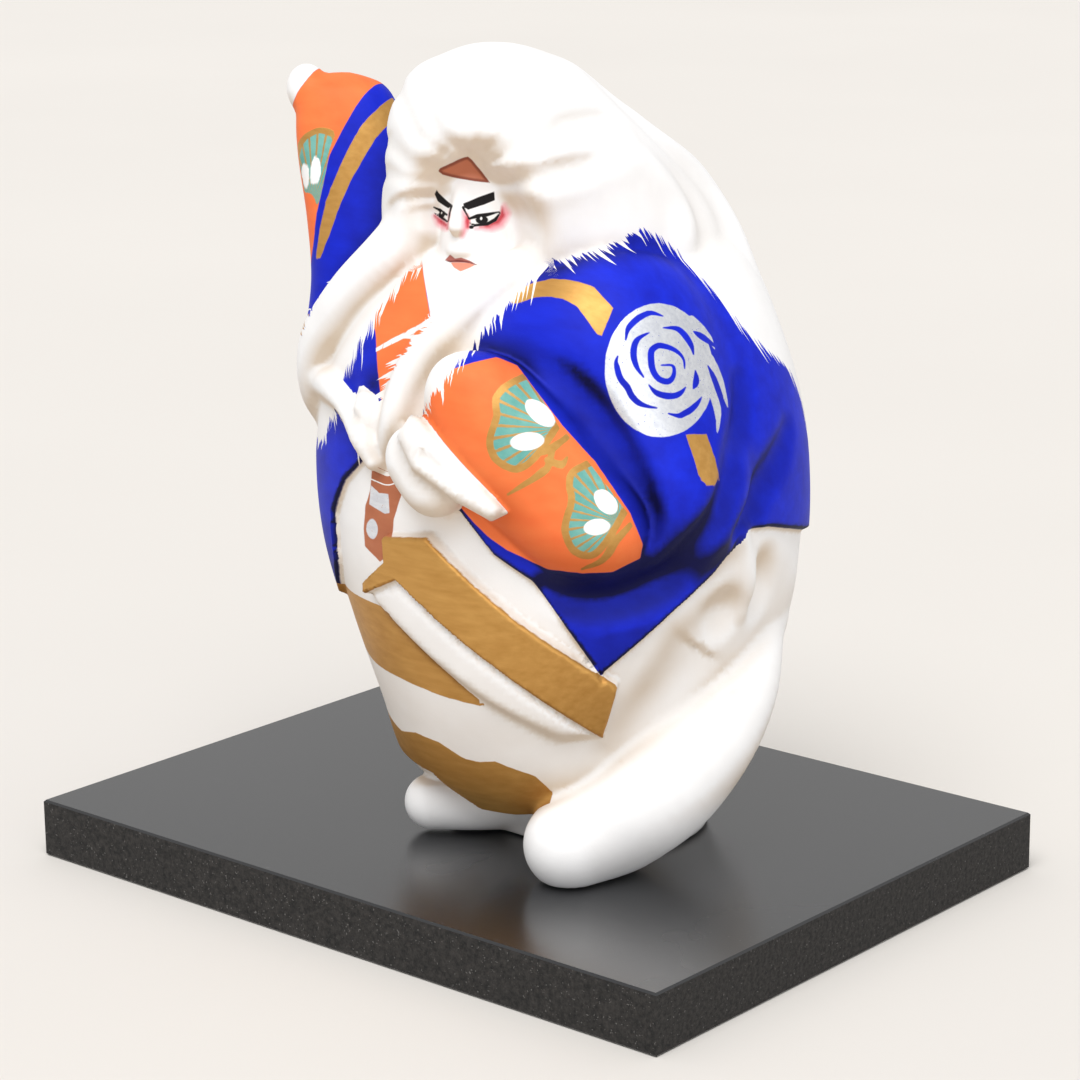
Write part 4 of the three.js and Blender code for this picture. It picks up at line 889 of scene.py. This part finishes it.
def lay_paint(piece):
    """Writes how far each point lies outside every kind of paint, in shares, below zero inside it, and how
    much painted shade it gets.
    """
    co = np.zeros(len(piece.data.vertices) * 3)
    normals = np.zeros(len(co))
    piece.data.vertices.foreach_get("co", co)
    piece.data.vertices.foreach_get("normal", normals)
    p = in_shares(co.reshape(-1, 3))
    m = Painter(p)
    gaps = {**hair_paint(m), **coat_paint(m), **gold_paint(m), **badge_paint(m), **face_paint(m),
            "painted_shade": painted_shade_amount(p, normals.reshape(-1, 3))}
    for name, values in gaps.items():
        limit = RUN_LIMIT if name in ("hair_run", "rib_turn") else GAP_LIMIT
        layer = piece.data.attributes.new(name, "FLOAT", "POINT")
        layer.data.foreach_set("value", np.clip(values, -limit, limit).astype(np.float32))


# Node helpers

FLOAT = "NodeSocketFloat"
VECTOR = "NodeSocketVector"


def linear(r, g, b):
    def one(c):
        c = c / 255
        return c / 12.92 if c <= 0.04045 else ((c + 0.055) / 1.055) ** 2.4
    return (one(r), one(g), one(b), 1)


class Bench:
    """Places nodes in one tree and joins them."""

    def __init__(self, tree):
        self.tree = tree

    def add(self, kind, **settings):
        node = self.tree.nodes.new(kind)
        for key, value in settings.items():
            setattr(node, key, value)
        return node

    def feed(self, socket, value):
        if isinstance(value, bpy.types.NodeSocket):
            self.tree.links.new(value, socket)
        else:
            socket.default_value = value

    def sum(self, kind, *values, clamp=False):
        node = self.add("ShaderNodeMath", operation=kind, use_clamp=clamp)
        for socket, value in zip(node.inputs, values):
            self.feed(socket, value)
        return node.outputs[0]

    def blend(self, amount, first, second, kind="MIX"):
        node = self.add("ShaderNodeMix", data_type="RGBA", blend_type=kind)
        self.feed(node.inputs[0], amount)
        self.feed(node.inputs[6], first)
        self.feed(node.inputs[7], second)
        return node.outputs[2]

    def tint(self, amount, pair):
        return self.blend(amount, linear(*pair[0]), linear(*pair[1]))

    def mix(self, amount, first, second):
        node = self.add("ShaderNodeMix", data_type="FLOAT")
        self.feed(node.inputs[0], amount)
        self.feed(node.inputs[2], first)
        self.feed(node.inputs[3], second)
        return node.outputs[0]

    def gap(self, name):
        return self.add("ShaderNodeAttribute", attribute_name=name).outputs["Fac"]

    def noise(self, coords, scale, detail=2.0, rough=0.5):
        node = self.add("ShaderNodeTexNoise")
        self.feed(node.inputs["Vector"], coords)
        node.inputs["Scale"].default_value = scale
        node.inputs["Detail"].default_value = detail
        node.inputs["Roughness"].default_value = rough
        return node.outputs["Fac"]

    def group(self, tree, **values):
        node = self.add("ShaderNodeGroup")
        node.node_tree = tree
        for key, value in values.items():
            self.feed(node.inputs[key], value)
        return node


def new_group(name, inputs, outputs):
    tree = bpy.data.node_groups.new(name, "ShaderNodeTree")
    for label, kind, value in inputs:
        socket = tree.interface.new_socket(label, in_out="INPUT", socket_type=kind)
        if value is not None:
            socket.default_value = value
    for label, kind in outputs:
        tree.interface.new_socket(label, in_out="OUTPUT", socket_type=kind)
    bench = Bench(tree)
    return tree, bench, bench.add("NodeGroupInput").outputs, bench.add("NodeGroupOutput").inputs


def painted_edge_group():
    """Turns a gap into a mask with the slightly uneven edge of a loaded brush."""
    tree, b, given, out = new_group(
        "painted_edge",
        [("Gap", FLOAT, 0.0), ("Place", VECTOR, None), ("Waver", FLOAT, 0.1), ("Soft", FLOAT, 0.05)],
        [("Mask", FLOAT)])
    wave = b.sum("SUBTRACT", b.noise(given["Place"], 420.0, 3.0), 0.5)
    moved = b.sum("ADD", given["Gap"], b.sum("MULTIPLY", wave, given["Waver"]))
    b.feed(out["Mask"], b.sum("SUBTRACT", 0.5, b.sum("DIVIDE", moved, given["Soft"]), clamp=True))
    return tree


def hair_stroke_group():
    """The tapering strokes of white that run out over the colour beside the hair."""
    tree, b, given, out = new_group(
        "hair_strokes",
        [("Gap", FLOAT, 0.0), ("Run", FLOAT, 0.0), ("Lean", FLOAT, 1.0), ("Reach", FLOAT, 1.0),
         ("Place", VECTOR, None)],
        [("Mask", FLOAT)])
    slanted = b.sum("SUBTRACT", given["Run"], b.sum("MULTIPLY", given["Gap"], given["Lean"]))
    reach = None
    for spacing, length, taper in ((1.9, 2.3, 3.2), (0.8, 1.5, 3.0), (0.36, 0.75, 2.6)):
        cells = b.add("ShaderNodeTexVoronoi", voronoi_dimensions="1D", feature="F1")
        cells.inputs["Scale"].default_value = 1.0 / spacing
        b.feed(cells.inputs["W"], slanted)
        share = b.add("ShaderNodeSeparateColor")
        b.feed(share.inputs[0], cells.outputs["Color"])
        peak = b.sum("SUBTRACT", 1.0, b.sum("MULTIPLY", cells.outputs["Distance"], taper), clamp=True)
        tip = b.sum("MULTIPLY", b.sum("MULTIPLY", peak, length), b.mix(share.outputs[0], 0.15, 1.0))
        reach = tip if reach is None else b.sum("MAXIMUM", reach, tip)
    ragged = b.sum("SUBTRACT", b.noise(given["Place"], 900.0, 2.0), 0.5)
    reach = b.sum("ADD", b.sum("MULTIPLY", reach, given["Reach"]), b.sum("MULTIPLY", ragged, 0.25))
    left = b.sum("SUBTRACT", given["Gap"], reach)
    b.feed(out["Mask"], b.sum("SUBTRACT", 0.5, b.sum("DIVIDE", left, 0.12), clamp=True))
    return tree


def brush_group():
    """Streaks and blotches of hand-laid paint: a lighter or darker share and a height."""
    tree, b, given, out = new_group(
        "brushed_paint",
        [("Place", VECTOR, None), ("Streak", FLOAT, 0.5), ("Size", FLOAT, 300.0)],
        [("Tone", FLOAT), ("Height", FLOAT)])
    stretched = b.add("ShaderNodeMapping")
    b.feed(stretched.inputs["Vector"], given["Place"])
    stretched.inputs["Rotation"].default_value = (0.5, 0.35, 0.6)
    stretched.inputs["Scale"].default_value = (0.16, 1.0, 1.0)
    streak = b.add("ShaderNodeTexNoise")
    b.feed(streak.inputs["Vector"], stretched.outputs[0])
    b.feed(streak.inputs["Scale"], b.sum("MULTIPLY", given["Size"], 4.0))
    streak.inputs["Detail"].default_value = 4.0
    blotch = b.add("ShaderNodeTexNoise")
    b.feed(blotch.inputs["Vector"], given["Place"])
    b.feed(blotch.inputs["Scale"], given["Size"])
    blotch.inputs["Detail"].default_value = 3.0
    b.feed(out["Tone"], b.mix(given["Streak"], blotch.outputs["Fac"], streak.outputs["Fac"]))
    b.feed(out["Height"], streak.outputs["Fac"])
    return tree


def clay_grain_group():
    """The dry, faintly pitted surface of unglazed clay under thin paint."""
    tree, b, given, out = new_group("clay_grain", [("Place", VECTOR, None)],
                                    [("Height", FLOAT), ("Tone", FLOAT)])
    fine = b.noise(given["Place"], 2600.0, 3.0, 0.6)
    broad = b.noise(given["Place"], 260.0, 4.0, 0.55)
    pits = b.add("ShaderNodeTexVoronoi", feature="F1")
    b.feed(pits.inputs["Vector"], given["Place"])
    pits.inputs["Scale"].default_value = 340.0
    pit = b.sum("MULTIPLY", b.sum("LESS_THAN", pits.outputs["Distance"], 0.06), -0.6)
    height = b.sum("ADD", b.sum("MULTIPLY", fine, 0.5), b.sum("MULTIPLY", broad, 1.0))
    b.feed(out["Height"], b.sum("ADD", height, pit))
    b.feed(out["Tone"], broad)
    return tree


# Paint colours, each from its darker to its lighter shade

WHITE = ((242, 241, 241), (251, 251, 252))
BLUE = ((4, 24, 176), (10, 40, 216))
# Painted shade: the darkest blue, laid along the edges of the blue where the hem's thickness falls in shade
HEM_SHADE_BLUE = (4, 8, 70)
ORANGE = ((244, 112, 58), (252, 136, 76))
GOLD = ((176, 126, 58), (220, 172, 100))
BROWN = ((170, 98, 68), (196, 124, 90))
TEAL = ((92, 160, 152), (130, 190, 180))
SILVER = ((214, 218, 228), (242, 245, 250))
# Painted shade: colours multiplied into the paint in recesses and on downward faces, from none to full
SHADE_ON_PALE = ((255, 255, 255), (220, 202, 180))
SHADE_ON_BLUE = ((255, 255, 255), (70, 56, 84))

# Small areas round the face, in the order they are laid: waver, softness, inset, strength, colour; the last
# is a painted highlight in each eye

FACE_PAINTS = [("cap_gap", 0.1, 0.1, 0.0, 1.0, (150, 84, 66)),
               ("cap_gap", 0.1, 0.2, 0.3, 1.0, (206, 130, 102)),
               ("blush_gap", 0.4, 0.7, 0.0, 0.75, (244, 128, 146)),
               ("crimson_gap", 0.3, 0.35, 0.0, 0.9, (198, 36, 56)),
               ("eye_white_gap", 0.0, 0.1, 0.0, 1.0, (244, 243, 240)),
               ("upper_lip_gap", 0.05, 0.1, 0.0, 1.0, (178, 106, 98)),
               ("lower_lip_gap", 0.05, 0.1, 0.0, 1.0, (232, 150, 126)),
               ("lip_line_gap", 0.05, 0.1, 0.0, 1.0, (124, 62, 60)),
               ("ink_gap", 0.04, 0.1, 0.0, 1.0, (20, 16, 18)),
               ("eye_highlight_gap", 0.0, 0.06, 0.0, 1.0, (236, 236, 234))]

# Colours of the board and the floor

BOARD_TOP = ((24, 25, 27), (33, 34, 37))
BOARD_DUST = (150, 150, 156)
BOARD_SIDE = ((6, 6, 6), (52, 49, 47))
BOARD_SPECK = (130, 128, 126)
FLOOR = ((219, 215, 210), (225, 221, 216))

# Materials


def new_material(name):
    """A material with the bench for its nodes, its shader and the place on the piece."""
    material = bpy.data.materials.new(name)
    material.use_nodes = True
    b = Bench(material.node_tree)
    place = b.add("ShaderNodeTexCoord").outputs["Object"]
    return material, b, material.node_tree.nodes["Principled BSDF"], place


def raise_relief(b, shader, height, distance, strength):
    bump = b.add("ShaderNodeBump")
    bump.inputs["Distance"].default_value = distance
    bump.inputs["Strength"].default_value = strength
    b.feed(bump.inputs["Height"], height)
    b.feed(shader.inputs["Normal"], bump.outputs["Normal"])


def doll_material():
    """Matt paint on unglazed clay, laid in the order that the painter lays it."""
    material, b, shader, place = new_material("painted_clay")
    edge = painted_edge_group()
    brushed = brush_group()
    grain = b.group(clay_grain_group(), Place=place)

    def mask(name, waver=0.12, soft=0.1, inset=0.0):
        gap = b.sum("ADD", b.gap(name), inset) if inset else b.gap(name)
        return b.group(edge, Gap=gap, Place=place, Waver=waver, Soft=soft).outputs["Mask"]

    def minus(first, *others):
        for other in others:
            first = b.sum("MULTIPLY", first, b.sum("SUBTRACT", 1.0, other, clamp=True))
        return first

    def brush(streak, size, result="Tone"):
        return b.group(brushed, Place=place, Streak=streak, Size=size).outputs[result]

    def shades(paint, streak, size):
        tone = b.sum("SUBTRACT", brush(streak, size), 0.3)
        return b.tint(b.sum("MULTIPLY", tone, 2.5, clamp=True), paint)

    strokes = b.group(hair_stroke_group(), Gap=b.gap("hair_gap"), Run=b.gap("hair_run"), Place=place,
                      Lean=1.2, Reach=1.05)
    hair = strokes.outputs["Mask"]
    bare = mask("bare_gap", 0.05)
    fist = mask("fist_gap")
    blue = minus(mask("blue_gap"), fist, bare)
    orange = minus(mask("orange_gap"), fist, bare)
    strap = minus(mask("strap_gap"), bare)
    gold = minus(mask("gold_gap", 0.2), bare, fist)
    ribs = b.sum("SINE", b.sum("MULTIPLY", b.gap("rib_turn"), 0.55))
    uneven = b.mix(b.noise(place, 700.0), 0.2, 0.9)
    rib = b.sum("MULTIPLY", b.sum("SUBTRACT", ribs, uneven), 4.0, clamp=True)
    teal = minus(mask("teal_gap", 0.15), b.sum("MULTIPLY", rib, 0.9), bare)
    speckle = b.sum("GREATER_THAN", b.noise(place, 2600.0, 2.0), 0.29)
    silver = minus(mask("silver_gap", 0.2), mask("whirl_gap", 0.1))
    silver = b.sum("MULTIPLY", silver, b.mix(0.9, 1.0, speckle))
    marks = minus(mask("mark_gap", 0.15), bare)

    # Painted shade: the blue darkens towards the edges of its area, as along the hem
    hem_shade = b.sum("ADD", b.sum("DIVIDE", b.gap("blue_gap"), 0.8), 1.0, clamp=True)
    hem_shade = b.sum("MULTIPLY", hem_shade, 0.4)
    cloth_blue = b.blend(hem_shade, shades(BLUE, 0.6, 60.0), linear(*HEM_SHADE_BLUE))
    white = shades(WHITE, 0.3, 40.0)
    colour = white
    layers = [(blue, cloth_blue), (orange, shades(ORANGE, 0.4, 60.0)), (strap, shades(BROWN, 0.5, 90.0)),
              (gold, b.tint(brush(0.8, 160.0), GOLD)), (teal, shades(TEAL, 0.5, 120.0)),
              (silver, shades(SILVER, 0.6, 300.0)), (marks, white), (hair, white)]
    for area, paint in layers:
        colour = b.blend(area, colour, paint)
    for name, waver, soft, inset, strength, paint in FACE_PAINTS:
        area = mask(name, waver, soft, inset)
        if strength < 1:
            area = b.sum("MULTIPLY", area, strength)
        colour = b.blend(area, colour, linear(*paint))

    gold = minus(gold, teal)
    # Painted shade: the colour is darkened in recesses and on downward faces, more deeply on the blue
    covered = b.sum("SUBTRACT", 1.0, hair)
    painted_shade = b.sum("MULTIPLY", b.gap("painted_shade"), b.mix(b.noise(place, 120.0, 3.0), 0.75, 1.1), clamp=True)
    on_blue = b.sum("MULTIPLY", minus(blue, gold, orange, silver), covered, clamp=True)
    shade = b.blend(on_blue, b.tint(painted_shade, SHADE_ON_PALE),
                    b.tint(b.sum("MULTIPLY", painted_shade, 1.6, clamp=True), SHADE_ON_BLUE))
    b.feed(shader.inputs["Base Color"], b.blend(1.0, colour, shade, "MULTIPLY"))
    shader.inputs["Specular IOR Level"].default_value = 0.22

    metal = b.sum("MAXIMUM", b.sum("MULTIPLY", gold, 0.55), b.sum("MULTIPLY", silver, 0.75))
    metal = b.sum("MULTIPLY", metal, minus(covered, marks))
    b.feed(shader.inputs["Metallic"], metal)
    rough = b.mix(grain.outputs["Tone"], 0.56, 0.74)
    for area, value in ((blue, 0.58), (metal, 0.36), (hair, 0.66)):
        rough = b.mix(area, rough, value)
    b.feed(shader.inputs["Roughness"], rough)
    streaks = b.sum("MULTIPLY", brush(1.0, 150.0, "Height"), b.mix(gold, 0.15, 0.9))
    raise_relief(b, shader, b.sum("ADD", grain.outputs["Height"], streaks), 0.00012, 0.45)
    return material


def plinth_material():
    """Black board: a satin top and rough, fibrous, faintly speckled sides."""
    material, b, shader, place = new_material("black_board")
    facing = b.add("ShaderNodeSeparateXYZ")
    b.feed(facing.inputs[0], b.add("ShaderNodeNewGeometry").outputs["Normal"])
    side = b.sum("LESS_THAN", b.sum("ABSOLUTE", facing.outputs["Z"]), 0.5)
    fibre = b.noise(place, 900.0, 5.0, 0.7)
    lumps = b.noise(place, 260.0, 3.0, 0.6)
    haze = b.noise(place, 14.0, 3.0, 0.5)
    speck = b.sum("GREATER_THAN", b.noise(place, 1500.0, 1.0), 0.72)
    dust = b.sum("GREATER_THAN", b.noise(place, 1300.0, 0.0), 0.84)
    coarse = b.sum("MULTIPLY", b.sum("SUBTRACT", fibre, 0.35), 3.0, clamp=True)
    top = b.blend(b.sum("MULTIPLY", dust, 0.2), b.tint(haze, BOARD_TOP), linear(*BOARD_DUST))
    edge = b.blend(b.sum("MULTIPLY", speck, 0.45), b.tint(coarse, BOARD_SIDE), linear(*BOARD_SPECK))
    b.feed(shader.inputs["Base Color"], b.blend(side, top, edge))
    b.feed(shader.inputs["Roughness"], b.mix(side, b.mix(haze, 0.22, 0.3), 0.85))
    b.feed(shader.inputs["Coat Weight"], b.mix(side, 0.75, 0.0))
    shader.inputs["Coat Roughness"].default_value = 0.24
    polish = b.sum("MULTIPLY", b.noise(place, 1800.0, 2.0), 0.05)
    raise_relief(b, shader, b.mix(side, polish, b.sum("ADD", fibre, lumps)), 0.0004, 0.6)
    return material


def floor_material():
    material, b, shader, place = new_material("pale_floor")
    b.feed(shader.inputs["Base Color"], b.tint(b.noise(place, 3.0), FLOOR))
    shader.inputs["Roughness"].default_value = 0.8
    return material


# Camera, lights and floor: each light's place along the view's right, up and back, power, spread, colour

LIGHTS = [("key_light", (-0.12, 0.74, 0.66), 2.3, 45.0, (1.0, 0.995, 0.985)),
          ("front_light", (0.35, -0.12, 0.93), 0.6, 40.0, (0.98, 0.99, 1.0))]
ROOM_COLOUR = (1.0, 0.995, 0.99, 1)
ROOM_POWER = 0.58
FLOOR_HALF = 4.0


def view_frame():
    a, e, r = map(math.radians, (VIEW_TURN, VIEW_RISE, VIEW_ROLL))
    back = Vector((math.sin(a) * math.cos(e), -math.cos(a) * math.cos(e), math.sin(e)))
    level = Vector((math.cos(a), math.sin(a), 0))
    upright = back.cross(level)
    right = level * math.cos(r) + upright * math.sin(r)
    return right, back.cross(right), back


def make_camera():
    data = bpy.data.cameras.new("view")
    data.sensor_width = SENSOR
    data.lens = SENSOR * LENS_LENGTH / FRAME_SIDE
    camera = set_out("view", data)
    turn = Matrix(view_frame()).transposed().to_4x4()
    camera.matrix_world = Matrix.Translation(Vector(EYE)) @ turn
    bpy.context.scene.camera = camera


def sun_light(name, towards, power, spread, colour):
    data = bpy.data.lights.new(name, "SUN")
    data.energy = power
    data.angle = math.radians(spread)
    data.color = colour
    light = set_out(name, data)
    light.location = towards
    light.rotation_euler = towards.to_track_quat("Z", "Y").to_euler()


def make_studio():
    bpy.context.scene.view_settings.view_transform = "Standard"
    right, up, back = view_frame()
    for name, (across, rise, near), power, spread, colour in LIGHTS:
        sun_light(name, right * across + up * rise + back * near, power, spread, colour)
    world = bpy.data.worlds.new("soft_room")
    world.use_nodes = True
    background = world.node_tree.nodes["Background"]
    background.inputs["Color"].default_value = ROOM_COLOUR
    background.inputs["Strength"].default_value = ROOM_POWER
    bpy.context.scene.world = world
    bm = bmesh.new()
    bmesh.ops.create_grid(bm, x_segments=8, y_segments=8, size=FLOOR_HALF)
    mesh = bpy.data.meshes.new("floor")
    bm.to_mesh(mesh)
    bm.free()
    floor = set_out("floor", mesh)
    floor.data.materials.append(floor_material())


def dress_plinth():
    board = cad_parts["plinth_board"]
    board.data.materials.clear()
    board.data.materials.append(plinth_material())


def main():
    make_camera()
    make_studio()
    piece = fine_doll(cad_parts["figure"])
    lay_paint(piece)
    piece.data.materials.append(doll_material())
    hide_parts("figure")
    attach(piece, "root")
    dress_plinth()
    faces = piece.data.polygons
    print("doll faces", len(faces), "triangles", sum(len(f.vertices) - 2 for f in faces))


main()
